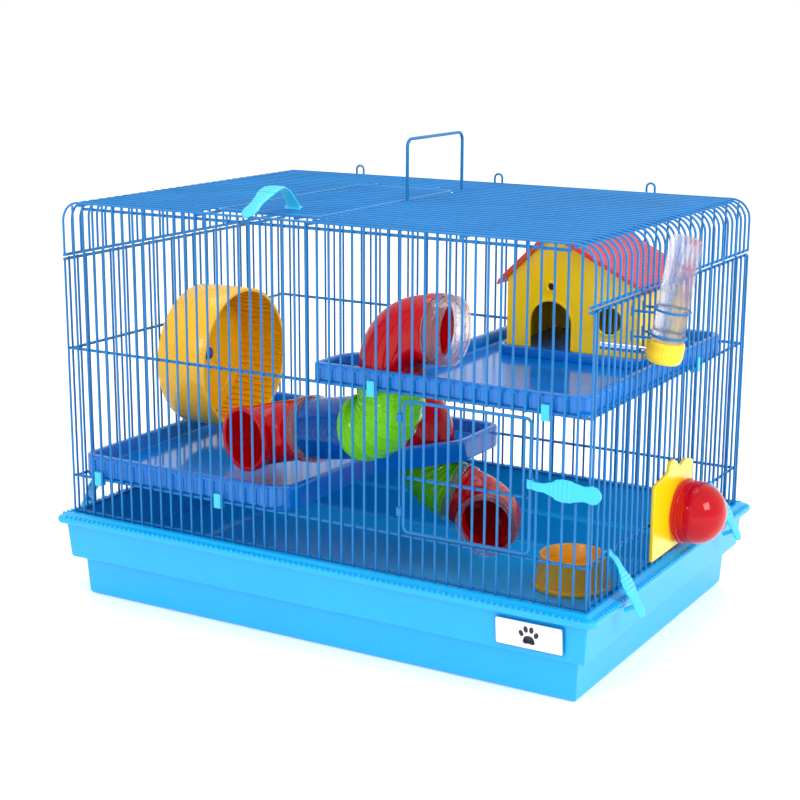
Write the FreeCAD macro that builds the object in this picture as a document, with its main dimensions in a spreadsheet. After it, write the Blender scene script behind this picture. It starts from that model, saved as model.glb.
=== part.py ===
# Two-storey hamster cage: wire body on a deep tray, two platforms, tube run, wheel, house and bottle.
# Origin: centre of the tray's underside. X runs along the front, Y towards the back, Z up. Millimetres.
import math
import os

import FreeCAD
import Part
import Sketcher

Vector = FreeCAD.Vector
Rotation = FreeCAD.Rotation
Placement = FreeCAD.Placement

doc = FreeCAD.newDocument("HamsterCage")
sheet = doc.addObject("Spreadsheet::Sheet", "Sheet")

DIMENSIONS = [
    # wire body
    ("cage_length", 500, "wire body along X"),
    ("cage_depth", 332, "wire body along Y"),
    ("cage_foot", 77, "height of the wires' lower ends"),
    ("cage_top", 356.5, "height of the wires on the roof"),
    ("front_gaps", 46, "gaps between the upright wires of the front"),
    ("side_gaps", 30, "gaps between the upright wires of a side"),
    ("wire_radius", 1.0, "upright and roof wires"),
    ("bar_radius", 1.3, "cross bars and frames"),
    ("low_bar", 111, "height of the lower cross bar"),
    ("high_bar", 227, "height of the upper cross bar"),
    ("side_top", 306.5, "height of the side panels' top bar"),
    ("roof_end", 310.2, "height of the roof panel's end bars"),
    ("roof_bend", 17, "bend radius of the roof wires' centre line"),
    ("bar_overrun", 3.5, "how far the end bars pass the corner"),
    ("eye_clearance", 0.08, "radial running clearance of the eyes"),
    ("eye_wall", 1.5, "wall of a wire eye"),
    # tray
    ("tray_floor", 7.5, "top of the tray's floor"),
    ("foot_length", 481, "tray underside along X"),
    ("foot_depth", 317.5, "tray underside along Y"),
    ("step_height", 35.3, "height of the step in the tray's wall"),
    ("step_flare", 5, "growth of the foot up to the step"),
    ("wall_length", 504, "tray wall above the step along X"),
    ("wall_depth", 345, "tray wall above the step along Y"),
    ("wall_flare", 6, "growth of the wall up to the rim"),
    ("rim_length", 525, "rim along X"),
    ("rim_depth", 362, "rim along Y"),
    ("rim_bottom", 69.5, "underside of the rim"),
    ("rim_top", 78, "top of the rim"),
    ("rim_corner", 8, "corner radius of the rim"),
    ("wall_corner", 18, "corner radius of the walls"),
    ("tray_skin", 3, "wall thickness of the foot"),
    ("ledge_length", 495, "opening above the step along X"),
    ("ledge_depth", 327, "opening above the step along Y"),
    ("seat_length", 506, "recess that holds the wire body along X"),
    ("seat_depth", 338, "recess that holds the wire body along Y"),
    # label
    ("label_width", 58, "blank label"),
    ("label_height", 23, "blank label"),
    ("label_thick", 0.5, "blank label"),
    # front door
    ("door_jamb", 31, "number of the wire that carries the door"),
    ("door_last", 42, "number of the wire at the latch side"),
    ("door_right", 201.3, "centre line of the door frame's right side"),
    ("door_foot", 115, "centre line of the door frame's bottom"),
    ("door_head", 221.5, "centre line of the door frame's top"),
    ("door_rail", 159, "centre line of the middle rail"),
    ("door_corner", 4.5, "corner radius of the door frame"),
    # roof door
    ("hatch_left", -108.7, "cross bar left of the roof door"),
    ("hatch_margin", 4.5, "gap from a cross bar to the door frame"),
    ("hatch_front", -140, "front of the roof door's frame"),
    ("hatch_row", 23, "number of the roof wire that carries the door"),
    ("latch_row", 6, "number of the roof wire that carries the roof clip"),
    ("latch_spot", -55, "middle of the roof clip along X"),
    ("roof_rib", 138.5, "third cross bar of the roof"),
    # handle
    ("handle_front_row", 14.5, "front foot of the handle, in roof wires from the front"),
    ("handle_back_row", 23.5, "rear foot of the handle, in roof wires from the front"),
    ("handle_top", 409, "height of the handle's centre line"),
    ("handle_wire", 1.5, "radius of the handle's wire"),
    ("handle_bend", 7, "bend radius of the handle"),
    # clips
    ("clip_length", 53, "door clip from its pivot to the middle of the round tab"),
    ("side_clip_length", 48, "side clip from its pivot to the middle of the round tab"),
    ("side_clip_hook", 45.5, "side clip from its pivot to the hook at the rim"),
    ("clip_width", 18, "widest part of a clip"),
    ("clip_neck", 7, "narrowest part of a clip"),
    ("clip_tab", 7.2, "radius of the round tab"),
    ("clip_gap", 3.7, "inner face of the clip from the pivot axis"),
    ("clip_thick", 2, "thickness of a clip"),
    ("clip_lean", 29, "lean of the side clips, degrees"),
    # platforms
    ("lower_deck", 110.5, "underside of the lower platform"),
    ("lower_floor", 118, "floor of the lower platform"),
    ("lower_lip", 131, "top of the lower platform's lip"),
    ("upper_deck", 225.5, "underside of the upper platform"),
    ("upper_floor", 231.5, "floor of the upper platform"),
    ("upper_lip", 242, "top of the upper platform's lip"),
    ("deck_thick", 2.5, "floor and wall of a platform"),
    ("deck_side", 244.4, "platform edge beside a side panel"),
    ("deck_front", 162, "platform edge beside the front panel"),
    ("deck_back", 132, "platform edge towards the back"),
    # tubes
    ("tube_radius", 26.5, "outside of a tube"),
    ("tube_wall", 1.8, "wall of a tube"),
    ("tube_bend", 34, "bend radius of a tube's centre line"),
    ("collar_radius", 28.3, "outside of an elbow's collar"),
    ("collar_length", 8, "length of an elbow's collar"),
    ("coupler_radius", 29, "outside of a clear coupler"),
    ("coupler_length", 8, "length of a clear coupler"),
    ("upper_hole_x", 58.5, "tube hole in the upper platform"),
    ("upper_hole_y", -130.5, "tube hole in the upper platform"),
    ("lower_hole_x", -14, "tube hole in the lower platform"),
    ("lower_hole_y", 57, "tube hole in the lower platform"),
    ("link_length", 57, "straight tube between the elbows"),
    # wheel
    ("wheel_radius", 66, "outside of the wheel"),
    ("wheel_back", -225, "closed face of the wheel"),
    ("wheel_width", 53, "wheel along its axis"),
    ("wheel_y", -9, "wheel axis"),
    ("wheel_z", 198, "wheel axis"),
    ("wheel_skin", 2, "wall of the wheel"),
    ("axle_radius", 4, "wheel pin"),
    ("axle_clearance", 0.06, "radial running clearance of the wheel"),
    # house
    ("house_left", 96, "house wall"),
    ("house_right", 218, "house wall"),
    ("house_front", 0, "front face of the house"),
    ("house_depth", 95, "house along Y"),
    ("house_foot", 238.5, "underside of the house walls"),
    ("house_eaves", 297, "top of the side walls"),
    ("house_apex_x", 137, "ridge, off the middle"),
    ("house_apex_z", 336.5, "ridge"),
    ("house_skin", 2.5, "wall of the house"),
    ("roof_overhang", 7, "roof past the walls"),
    ("doorway_width", 38, "arched doorway"),
    ("doorway_height", 41, "arched doorway"),
    ("window_radius", 11.8, "round window"),
    # bottle
    ("bottle_radius", 12.5, "bottle"),
    ("bottle_length", 82, "clear part of the bottle"),
    ("bottle_row", 8, "bottle axis, in side wires from the front"),
    ("bottle_foot_x", 268.5, "underside of the bottle cap"),
    ("bottle_foot_z", 256, "underside of the bottle cap"),
    ("bottle_lean", 9, "lean of the bottle, degrees"),
    ("bottle_cap_radius", 14.5, "bottle cap"),
    ("bottle_cap_length", 17, "bottle cap"),
    ("spout_radius", 3, "drinking spout"),
    # exit port
    ("port_y", 14, "axis of the exit port"),
    ("port_z", 111.4, "axis of the exit port"),
    ("port_bore", 22.4, "free radius of the exit port"),
    ("plate_face", 251.6, "inner face of the port plate"),
    ("plate_thick", 3, "port plate"),
    ("plate_front", -46, "port plate's edge towards the front"),
    ("plate_back", 39, "port plate's edge towards the back"),
    ("plate_foot", 82.5, "port plate's lower edge"),
    ("plate_head", 147, "port plate's shoulder"),
    ("ear_height", 13, "ears of the port plate over its shoulder"),
    ("port_wall", 1.8, "wall of the exit port's collar"),
    ("port_collar", 13, "collar of the exit port"),
    ("cap_wall", 2.14, "wall of the exit cap"),
    ("cap_flange", 1.2, "height of the exit cap's flange"),
    ("cap_tube", 11, "straight part of the exit cap"),
    ("cap_dome", 25, "height of the exit cap's dome"),
    ("port_window", 142, "top of the opening in the right panel"),
    ("port_first", 14, "first side wire that is cut for the port"),
    ("port_last", 18, "last side wire that is cut for the port"),
    # bowl
    ("bowl_x", 135, "food bowl"),
    ("bowl_y", 65, "food bowl"),
    ("bowl_foot_radius", 37, "food bowl"),
    ("bowl_lip_radius", 30, "food bowl"),
    ("bowl_height", 30, "food bowl"),
]
for row, (alias, value, note) in enumerate(DIMENSIONS, start=1):
    sheet.set(f"A{row}", note)
    sheet.set(f"B{row}", str(value))
    sheet.setAlias(f"B{row}", alias)
doc.recompute()

NODES = []


def size(alias):
    """Value of one cell of the sheet."""
    return float(sheet.get(alias))


def number(expression):
    """Value of an expression on the sheet's cells."""
    value = sheet.evalExpression(str(expression))
    return float(getattr(value, "Value", value))


def node(piece, name):
    """Give a finished sub-part the label that also names its file."""
    piece.Label = name
    NODES.append(piece)
    return piece


def locate(piece, x, y, z, rotation=None):
    """Place a piece at bound coordinates with a fixed rotation."""
    piece.Placement = Placement(Vector(0, 0, 0), rotation or Rotation())
    for axis, expression in zip("xyz", (x, y, z)):
        piece.setExpression("Placement.Base." + axis, str(expression))
    return piece


def axes_rotation(x_axis, y_axis):
    """Rotation that carries the local X and Y axes onto the given directions."""
    x_axis = Vector(*x_axis).normalize()
    y_axis = Vector(*y_axis).normalize()
    return Rotation(x_axis, y_axis, x_axis.cross(y_axis), "ZXY")


ALONG = {"x": Rotation(Vector(0, 1, 0), 90), "y": Rotation(Vector(1, 0, 0), -90), "z": Rotation()}


def rod(radius, length, x, y, z, direction):
    """Round bar that starts at a point and runs along +X, +Y or +Z."""
    piece = doc.addObject("Part::Cylinder", "Rod")
    piece.setExpression("Radius", radius)
    piece.setExpression("Height", str(length))
    return locate(piece, x, y, z, ALONG[direction])


def bend(ring, radius, x, y, z, rotation, sweep=90):
    """Quarter ring of round wire."""
    piece = doc.addObject("Part::Torus", "Bend")
    piece.setExpression("Radius1", ring)
    piece.setExpression("Radius2", radius)
    piece.Angle3 = sweep
    return locate(piece, x, y, z, rotation)


def compound(pieces, name):
    """Several solids that make one sub-part."""
    group = doc.addObject("Part::Compound", "Group")
    group.Links = pieces
    return node(group, name)


def new_body():
    return doc.addObject("PartDesign::Body", "Body")


def origin_feature(body, role):
    return [item for item in body.Origin.OriginFeatures if item.Role == role][0]


def sketch_on(body, plane, offset=0, offset_placement=None):
    """Sketch on an origin plane of its own body, moved along the plane's normal."""
    sketch = body.newObject("Sketcher::SketchObject", "Sketch")
    sketch.AttachmentSupport = [(origin_feature(body, plane), "")]
    sketch.MapMode = "FlatFace"
    if offset_placement is not None:
        sketch.AttachmentOffset = offset_placement
    else:
        sketch.setExpression("AttachmentOffset.Base.z", str(offset))
    return sketch


def circle(sketch, x, y, radius):
    """Circle with bound centre and radius."""
    centre = Vector(number(x), number(y), 0)
    index = sketch.addGeometry(Part.Circle(centre, Vector(0, 0, 1), number(radius)), False)
    pin_point(sketch, index, 3, x, y)
    hold = sketch.addConstraint(Sketcher.Constraint("Radius", index, number(radius)))
    sketch.setExpression(f"Constraints[{hold}]", str(radius))
    return index


def pin_point(sketch, index, position, x, y):
    """Hold one point of a sketch at bound coordinates."""
    for kind, expression in (("DistanceX", x), ("DistanceY", y)):
        hold = sketch.addConstraint(Sketcher.Constraint(kind, index, position, number(expression)))
        sketch.setExpression(f"Constraints[{hold}]", str(expression))


def polygon(sketch, corners):
    """Closed outline of straight edges through bound corners."""
    points = [Vector(number(x), number(y), 0) for x, y in corners]
    count = len(points)
    lines = [sketch.addGeometry(Part.LineSegment(points[i], points[(i + 1) % count]), False)
             for i in range(count)]
    for i in range(count):
        sketch.addConstraint(Sketcher.Constraint("Coincident", lines[i], 2, lines[(i + 1) % count], 1))
    for line, (x, y) in zip(lines, corners):
        pin_point(sketch, line, 1, x, y)
    return lines


def rectangle(sketch, half_x, half_y, centre_x="0", centre_y="0"):
    """Rectangle about a bound centre."""
    low_x = f"{centre_x} - ({half_x})"
    high_x = f"{centre_x} + ({half_x})"
    low_y = f"{centre_y} - ({half_y})"
    high_y = f"{centre_y} + ({half_y})"
    return polygon(sketch, [(low_x, low_y), (high_x, low_y), (high_x, high_y), (low_x, high_y)])


def pad(body, sketch, length, backwards=False, midplane=False):
    feature = body.newObject("PartDesign::Pad", "Pad")
    feature.Profile = sketch
    feature.setExpression("Length", str(length))
    feature.Reversed = backwards
    feature.Midplane = midplane
    return feature


def pocket(body, sketch, length, backwards=False, midplane=False):
    """Cut, checked to remove material."""
    doc.recompute()
    before = body.Shape.Volume
    feature = body.newObject("PartDesign::Pocket", "Pocket")
    feature.Profile = sketch
    feature.setExpression("Length", str(length))
    feature.Reversed = backwards
    feature.Midplane = midplane
    doc.recompute()
    if body.Shape.Volume > before - 0.1:
        raise RuntimeError("a pocket cut nothing in " + body.Name)
    return feature


def loft(body, sketches, cut=False):
    kind = "PartDesign::SubtractiveLoft" if cut else "PartDesign::AdditiveLoft"
    feature = body.newObject(kind, "Loft")
    feature.Profile = sketches[0]
    feature.Sections = sketches[1:]
    feature.Ruled = True
    return feature


def revolve(body, sketch, angle=360, cut=False, axis=None):
    kind = "PartDesign::Groove" if cut else "PartDesign::Revolution"
    feature = body.newObject(kind, "Turn")
    feature.Profile = sketch
    feature.ReferenceAxis = axis or (sketch, ["V_Axis"])
    feature.Angle = angle
    return feature


def fillet_edges(body, chosen, radius):
    """Round the edges of the body's tip for which the test holds."""
    doc.recompute()
    base = body.Tip
    names = [f"Edge{i + 1}" for i, edge in enumerate(base.Shape.Edges) if chosen(edge)]
    feature = body.newObject("PartDesign::Fillet", "Fillet")
    feature.Base = (base, names)
    feature.setExpression("Radius", str(radius))
    doc.recompute()
    return feature


def is_upright(edge):
    """True for an edge that rises more than it runs."""
    if len(edge.Vertexes) < 2:
        return False
    run = edge.Vertexes[1].Point.sub(edge.Vertexes[0].Point)
    return abs(run.z) > 3 * math.hypot(run.x, run.y)


HALF_LENGTH = "Sheet.cage_length / 2"
HALF_DEPTH = "Sheet.cage_depth / 2"
FRONT_PITCH = "Sheet.cage_length / Sheet.front_gaps"
SIDE_PITCH = "Sheet.cage_depth / Sheet.side_gaps"
WIRE = "Sheet.wire_radius"
BAR = "Sheet.bar_radius"
STACK = f"({WIRE} + {BAR})"
SLIP = "0.06"
EYE_REACH = f"({WIRE} + Sheet.eye_clearance + Sheet.eye_wall)"
ROOF = "(Sheet.cage_top - Sheet.wire_radius)"
UNDER_ROOF = f"({ROOF} - {STACK})"


def front_x(step):
    """Centre of an upright wire of the front or back, counted from the left."""
    return f"({step} * {FRONT_PITCH} - {HALF_LENGTH})"


def side_y(step):
    """Centre of a roof wire, counted from the front; half steps are the side panels' wires."""
    return f"({step} * {SIDE_PITCH} - {HALF_DEPTH})"


HANDLE_FRONT = side_y("Sheet.handle_front_row")
HANDLE_BACK = side_y("Sheet.handle_back_row")
BOTTLE_Y = side_y("Sheet.bottle_row")


# ---------------------------------------------------------------- wire panels
def roof_edge_height(step):
    """How high an upright wire of the front may rise under the bent edge wire of the roof."""
    reach = abs(number(front_x(step))) - (size("cage_length") / 2 - size("roof_bend"))
    if reach <= 0:
        return f"({ROOF} - {WIRE})"
    reach += size("wire_radius")
    inner = size("roof_bend") - size("wire_radius")
    if reach >= inner:
        return "Sheet.side_top"
    drop = inner - math.sqrt(inner ** 2 - reach ** 2)
    return f"({ROOF} - {WIRE} - {drop:.2f})"


def long_panel(name, side, doorway):
    """Front (side -1) or back (side 1) panel: upright wires with cross bars on the inside."""
    plane = f"({side} * {HALF_DEPTH})"
    inside = f"({side} * ({HALF_DEPTH} - {STACK}))"
    pieces = []
    first_cut = int(size("door_jamb")) + 1
    last_cut = int(size("door_last")) - 1
    for step in range(int(size("front_gaps")) + 1):
        top = roof_edge_height(step)
        if doorway and first_cut <= step <= last_cut:
            pieces.append(rod(WIRE, "Sheet.low_bar + Sheet.bar_radius - Sheet.cage_foot",
                              front_x(step), plane, "Sheet.cage_foot", "z"))
            pieces.append(rod(WIRE, f"{top} - Sheet.high_bar + Sheet.bar_radius",
                              front_x(step), plane, "Sheet.high_bar - Sheet.bar_radius", "z"))
        else:
            pieces.append(rod(WIRE, f"{top} - Sheet.cage_foot",
                              front_x(step), plane, "Sheet.cage_foot", "z"))
    for height in ("Sheet.cage_foot + Sheet.bar_radius", "Sheet.low_bar", "Sheet.high_bar"):
        pieces.append(rod(BAR, "Sheet.cage_length", f"-{HALF_LENGTH}", inside, height, "x"))
    inset = "(Sheet.roof_bend + 4)"
    pieces.append(rod(BAR, f"Sheet.cage_length - 2 * {inset}", f"{inset} - {HALF_LENGTH}", inside,
                      f"{UNDER_ROOF} - 2 * {BAR} - 0.2", "x"))
    compound(pieces, name)


def side_panel(name, side, port):
    """Left (side -1) or right (side 1) panel; the right one has the exit port's opening."""
    plane = f"({side} * {HALF_LENGTH})"
    inside = f"({side} * ({HALF_LENGTH} - {STACK}))"
    short = f"({HALF_DEPTH} - {STACK} - {BAR} - 0.1)"
    pieces = []
    for step in range(int(size("side_gaps"))):
        place = side_y(step + 0.5)
        in_port = port and size("port_first") <= step <= size("port_last")
        foot = "(Sheet.port_window - Sheet.bar_radius)" if in_port else "Sheet.cage_foot"
        pieces.append(rod(WIRE, f"Sheet.side_top + Sheet.bar_radius - {foot}", plane, place, foot, "z"))
    for height in ("Sheet.cage_foot + Sheet.bar_radius", "Sheet.high_bar"):
        pieces.append(rod(BAR, f"2 * {short}", inside, f"-{short}", height, "y"))
    pieces.append(rod(BAR, f"2 * ({HALF_DEPTH} + Sheet.bar_overrun)", inside,
                      f"-({HALF_DEPTH} + Sheet.bar_overrun)", "Sheet.side_top", "y"))
    if port:
        near = f"({side_y('(Sheet.port_first - 0.5)')} + 1.5)"
        far = f"({side_y('(Sheet.port_last + 1.5)')} - 1.5)"
        pieces.append(rod(BAR, f"{near} + {short}", inside, f"-{short}", "Sheet.low_bar", "y"))
        pieces.append(rod(BAR, f"{short} - {far}", inside, far, "Sheet.low_bar", "y"))
        pieces.append(rod(BAR, f"{far} - {near} + 8", inside, f"{near} - 4", "Sheet.port_window", "y"))
    else:
        pieces.append(rod(BAR, f"2 * {short}", inside, f"-{short}", "Sheet.low_bar", "y"))
    compound(pieces, name)


def roof_panel():
    """Roof wires along X, bent down at both ends, with the roof door's opening."""
    pieces = []
    turn = f"({HALF_LENGTH} - Sheet.roof_bend)"
    centre_height = f"({ROOF} - Sheet.roof_bend)"
    left_bend = axes_rotation((-1, 0, 0), (0, 0, 1))
    right_bend = axes_rotation((1, 0, 0), (0, 0, 1))
    hatch_row = int(size("hatch_row"))
    for step in range(int(size("side_gaps")) + 1):
        place = side_y(step)
        if 0 < step < hatch_row:
            pieces.append(rod(WIRE, f"Sheet.hatch_left + {turn}", f"-{turn}", place, ROOF, "x"))
            pieces.append(rod(WIRE, turn, "0", place, ROOF, "x"))
        else:
            pieces.append(rod(WIRE, f"2 * {turn}", f"-{turn}", place, ROOF, "x"))
        for side, rotation in ((-1, left_bend), (1, right_bend)):
            pieces.append(bend("Sheet.roof_bend", WIRE, f"{side} * {turn}", place, centre_height,
                               rotation))
            pieces.append(rod(WIRE, f"{centre_height} - Sheet.roof_end", f"{side} * {HALF_LENGTH}",
                              place, "Sheet.roof_end", "z"))
    end_reach = f"({HALF_DEPTH} + Sheet.bar_overrun)"
    for side in (-1, 1):
        pieces.append(rod(BAR, f"2 * {end_reach}", f"{side} * ({HALF_LENGTH} - {STACK})",
                          f"-{end_reach}", "Sheet.roof_end", "y"))
    span = f"({HALF_DEPTH} - {WIRE} - 0.05)"
    for place in (f"-{turn}", "Sheet.hatch_left", "0", "Sheet.roof_rib", turn):
        pieces.append(rod(BAR, f"2 * {span}", place, f"-{span}", UNDER_ROOF, "y"))
    compound(pieces, "top_panel")


def back_hooks():
    """Three upturned loops on the rear edge of the roof."""
    pieces = []
    gap = 4
    for place in (-155, 0, 155):
        y = f"({HALF_DEPTH} + {STACK} + 0.1)"
        for side in (-1, 1):
            pieces.append(rod(WIRE, "11", f"{place + side * gap}", y, f"{ROOF} - 6", "z"))
        pieces.append(bend(str(gap), WIRE, str(place), y, f"{ROOF} + 5",
                           axes_rotation((1, 0, 0), (0, 0, 1)), 180))
    compound(pieces, "back_hooks")


# ---------------------------------------------------------------- tray
def base_tray():
    body = new_body()
    foot = sketch_on(body, "XY_Plane", "0")
    rectangle(foot, "Sheet.foot_length / 2", "Sheet.foot_depth / 2")
    knee = sketch_on(body, "XY_Plane", "Sheet.step_height")
    rectangle(knee, "(Sheet.foot_length + Sheet.step_flare) / 2",
              "(Sheet.foot_depth + Sheet.step_flare) / 2")
    loft(body, [foot, knee])
    fillet_edges(body, is_upright, "Sheet.wall_corner")
    step = sketch_on(body, "XY_Plane", "Sheet.step_height")
    rounded_rectangle(step, "Sheet.wall_length / 2", "Sheet.wall_depth / 2", "Sheet.wall_corner")
    under = sketch_on(body, "XY_Plane", "Sheet.rim_bottom")
    rounded_rectangle(under, "(Sheet.wall_length + Sheet.wall_flare) / 2",
                      "(Sheet.wall_depth + Sheet.wall_flare) / 2", "Sheet.wall_corner")
    loft(body, [step, under])
    rim = sketch_on(body, "XY_Plane", "Sheet.rim_bottom")
    rounded_rectangle(rim, "Sheet.rim_length / 2", "Sheet.rim_depth / 2", "Sheet.rim_corner")
    pad(body, rim, "Sheet.rim_top - Sheet.rim_bottom")
    seat = sketch_on(body, "XY_Plane", "Sheet.rim_top")
    rounded_rectangle(seat, "Sheet.seat_length / 2", "Sheet.seat_depth / 2", "4")
    pocket(body, seat, "Sheet.rim_top - Sheet.cage_foot")
    ledge = sketch_on(body, "XY_Plane", "Sheet.rim_top")
    rounded_rectangle(ledge, "Sheet.ledge_length / 2", "Sheet.ledge_depth / 2", "12")
    pocket(body, ledge, "Sheet.rim_top - Sheet.step_height - Sheet.tray_skin")
    well = sketch_on(body, "XY_Plane", "Sheet.rim_top")
    rounded_rectangle(well, "Sheet.foot_length / 2 - Sheet.tray_skin",
                      "Sheet.foot_depth / 2 - Sheet.tray_skin", "12")
    pocket(body, well, "Sheet.rim_top - Sheet.tray_floor")
    node(body, "base_tray")


def rounded_rectangle(sketch, half_x, half_y, radius):
    """Rectangle about the origin with four equal corner arcs."""
    hx, hy, r = number(half_x), number(half_y), number(radius)
    inner_x = f"({half_x} - {radius})"
    inner_y = f"({half_y} - {radius})"
    lines = []
    arcs = []
    quarter = math.pi / 2
    corners = [(1, -1, 3), (1, 1, 0), (-1, 1, 1), (-1, -1, 2)]
    ends = [((-(hx - r), -hy), (hx - r, -hy)), ((hx, -(hy - r)), (hx, hy - r)),
            ((hx - r, hy), (-(hx - r), hy)), ((-hx, hy - r), (-hx, -(hy - r)))]
    for (start, end), (sx, sy, turn) in zip(ends, corners):
        lines.append(sketch.addGeometry(Part.LineSegment(Vector(*start, 0), Vector(*end, 0)), False))
        ring = Part.Circle(Vector(sx * (hx - r), sy * (hy - r), 0), Vector(0, 0, 1), r)
        arcs.append(sketch.addGeometry(Part.ArcOfCircle(ring, turn * quarter, (turn + 1) * quarter), False))
    for i in range(4):
        sketch.addConstraint(Sketcher.Constraint("Tangent", lines[i], 2, arcs[i], 1))
        sketch.addConstraint(Sketcher.Constraint("Tangent", arcs[i], 2, lines[(i + 1) % 4], 1))
    for arc, (sx, sy, _) in zip(arcs, corners):
        pin_point(sketch, arc, 3, f"{sx} * {inner_x}", f"{sy} * {inner_y}")
    hold = sketch.addConstraint(Sketcher.Constraint("Radius", arcs[0], r))
    sketch.setExpression(f"Constraints[{hold}]", str(radius))
    for arc in arcs[1:]:
        sketch.addConstraint(Sketcher.Constraint("Equal", arcs[0], arc))


def label_plate():
    plate = doc.addObject("Part::Box", "Label")
    plate.setExpression("Length", "Sheet.label_width")
    plate.setExpression("Width", "Sheet.label_thick")
    plate.setExpression("Height", "Sheet.label_height")
    slope = math.degrees(math.atan2(size("wall_flare") / 2, size("rim_bottom") - size("step_height")))
    base_height = 41.5
    lean = (base_height - size("step_height")) * math.tan(math.radians(slope))
    locate(plate, "178", f"-Sheet.wall_depth / 2 - {lean:.3f} - Sheet.label_thick - 0.03",
           f"{base_height}", Rotation(Vector(1, 0, 0), slope))
    node(plate, "label_plate")


# ---------------------------------------------------------------- doors
def wire_frame(plane, offset, left, right, low, high, corner):
    """Closed frame of round wire with rounded corners, as one swept solid."""
    body = new_body()
    path = sketch_on(body, plane, offset)
    x0, x1, y0, y1, r = number(left), number(right), number(low), number(high), number(corner)
    quarter = math.pi / 2
    ends = [((x0 + r, y0), (x1 - r, y0), (x1 - r, y0 + r), 3),
            ((x1, y0 + r), (x1, y1 - r), (x1 - r, y1 - r), 0),
            ((x1 - r, y1), (x0 + r, y1), (x0 + r, y1 - r), 1),
            ((x0, y1 - r), (x0, y0 + r), (x0 + r, y0 + r), 2)]
    lines = []
    arcs = []
    for start, end, centre, turn in ends:
        lines.append(path.addGeometry(Part.LineSegment(Vector(*start, 0), Vector(*end, 0)), False))
        ring = Part.Circle(Vector(*centre, 0), Vector(0, 0, 1), r)
        arcs.append(path.addGeometry(Part.ArcOfCircle(ring, turn * quarter, (turn + 1) * quarter), False))
    for i in range(4):
        path.addConstraint(Sketcher.Constraint("Tangent", lines[i], 2, arcs[i], 1))
        path.addConstraint(Sketcher.Constraint("Tangent", arcs[i], 2, lines[(i + 1) % 4], 1))
    centres = [(f"({right}) - ({corner})", f"({low}) + ({corner})"),
               (f"({right}) - ({corner})", f"({high}) - ({corner})"),
               (f"({left}) + ({corner})", f"({high}) - ({corner})"),
               (f"({left}) + ({corner})", f"({low}) + ({corner})")]
    for arc, (x, y) in zip(arcs, centres):
        pin_point(path, arc, 3, x, y)
    hold = path.addConstraint(Sketcher.Constraint("Radius", arcs[0], r))
    path.setExpression(f"Constraints[{hold}]", str(corner))
    for arc in arcs[1:]:
        path.addConstraint(Sketcher.Constraint("Equal", arcs[0], arc))
    return body, path


def sweep_frame(body, path, cross_plane, cross_offset, centre_x, centre_y):
    """Sweep the wire's round section along the closed path."""
    section = sketch_on(body, cross_plane, cross_offset)
    circle(section, centre_x, centre_y, BAR)
    sweep = body.newObject("PartDesign::AdditivePipe", "Pipe")
    sweep.Profile = section
    sweep.Spine = (path, [f"Edge{i + 1}" for i in range(8)])
    sweep.Transition = 0
    return sweep


def eye(inner, length, x, y, z, direction):
    """Short tube that turns on a wire."""
    body = new_body()
    rings = sketch_on(body, "XY_Plane", "0")
    circle(rings, "0", "0", f"{inner} + Sheet.eye_clearance")
    circle(rings, "0", "0", f"{inner} + Sheet.eye_clearance + Sheet.eye_wall")
    pad(body, rings, str(length))
    return locate(body, x, y, z, ALONG[direction])


def front_door():
    plane = f"-{HALF_DEPTH}"
    jamb = front_x(int(size("door_jamb")))
    left = f"({jamb} + {EYE_REACH} + {BAR})"
    body, path = wire_frame("XZ_Plane", HALF_DEPTH, left, "Sheet.door_right",
                            "Sheet.door_foot", "Sheet.door_head", "Sheet.door_corner")
    middle = f"(({left} + Sheet.door_right) / 2)"
    sweep_frame(body, path, "YZ_Plane", middle, plane, "Sheet.door_foot")
    pieces = [body]
    first = int(size("door_jamb")) + 1
    last = int(size("door_last")) - 1
    rail_inside = f"({plane} + 2 * {BAR})"
    for step in range(first, last + 1):
        if number(front_x(step)) < size("door_right") - 3:
            pieces.append(rod(WIRE, "Sheet.door_head - Sheet.door_foot - 2 * Sheet.bar_radius",
                              front_x(step), plane, "Sheet.door_foot + Sheet.bar_radius", "z"))
    pieces.append(rod(BAR, f"Sheet.door_right - {left}", left, rail_inside, "Sheet.door_rail", "x"))
    for height in (128, 205):
        pieces.append(eye(WIRE, 6, jamb, plane, str(height), "z"))
    compound(pieces, "front_door")


def roof_door():
    left = "Sheet.hatch_left + Sheet.hatch_margin"
    right = "-Sheet.hatch_margin"
    hinge = side_y(int(size("hatch_row")))
    back = f"{hinge} - {EYE_REACH} - {BAR}"
    body, path = wire_frame("XY_Plane", ROOF, left, right, "Sheet.hatch_front", back, "6")
    sweep_frame(body, path, "YZ_Plane", f"({left} + {right}) / 2", "Sheet.hatch_front", ROOF)
    pieces = [body]
    first = int((size("hatch_front") + size("cage_depth") / 2) / number(SIDE_PITCH)) + 1
    for step in range(first, int(size("hatch_row"))):
        pieces.append(rod(WIRE, f"{right} - ({left}) - 2 * {BAR}", f"{left} + {BAR}", side_y(step),
                          ROOF, "x"))
    for place in ("-80", "-28"):
        pieces.append(rod(BAR, f"({back}) - Sheet.hatch_front - 2 * {BAR}", place,
                          f"Sheet.hatch_front + {BAR}", UNDER_ROOF, "y"))
    for place in (-90, -24):
        pieces.append(eye(WIRE, 6, str(place), hinge, ROOF, "x"))
    compound(pieces, "top_door")


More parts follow.
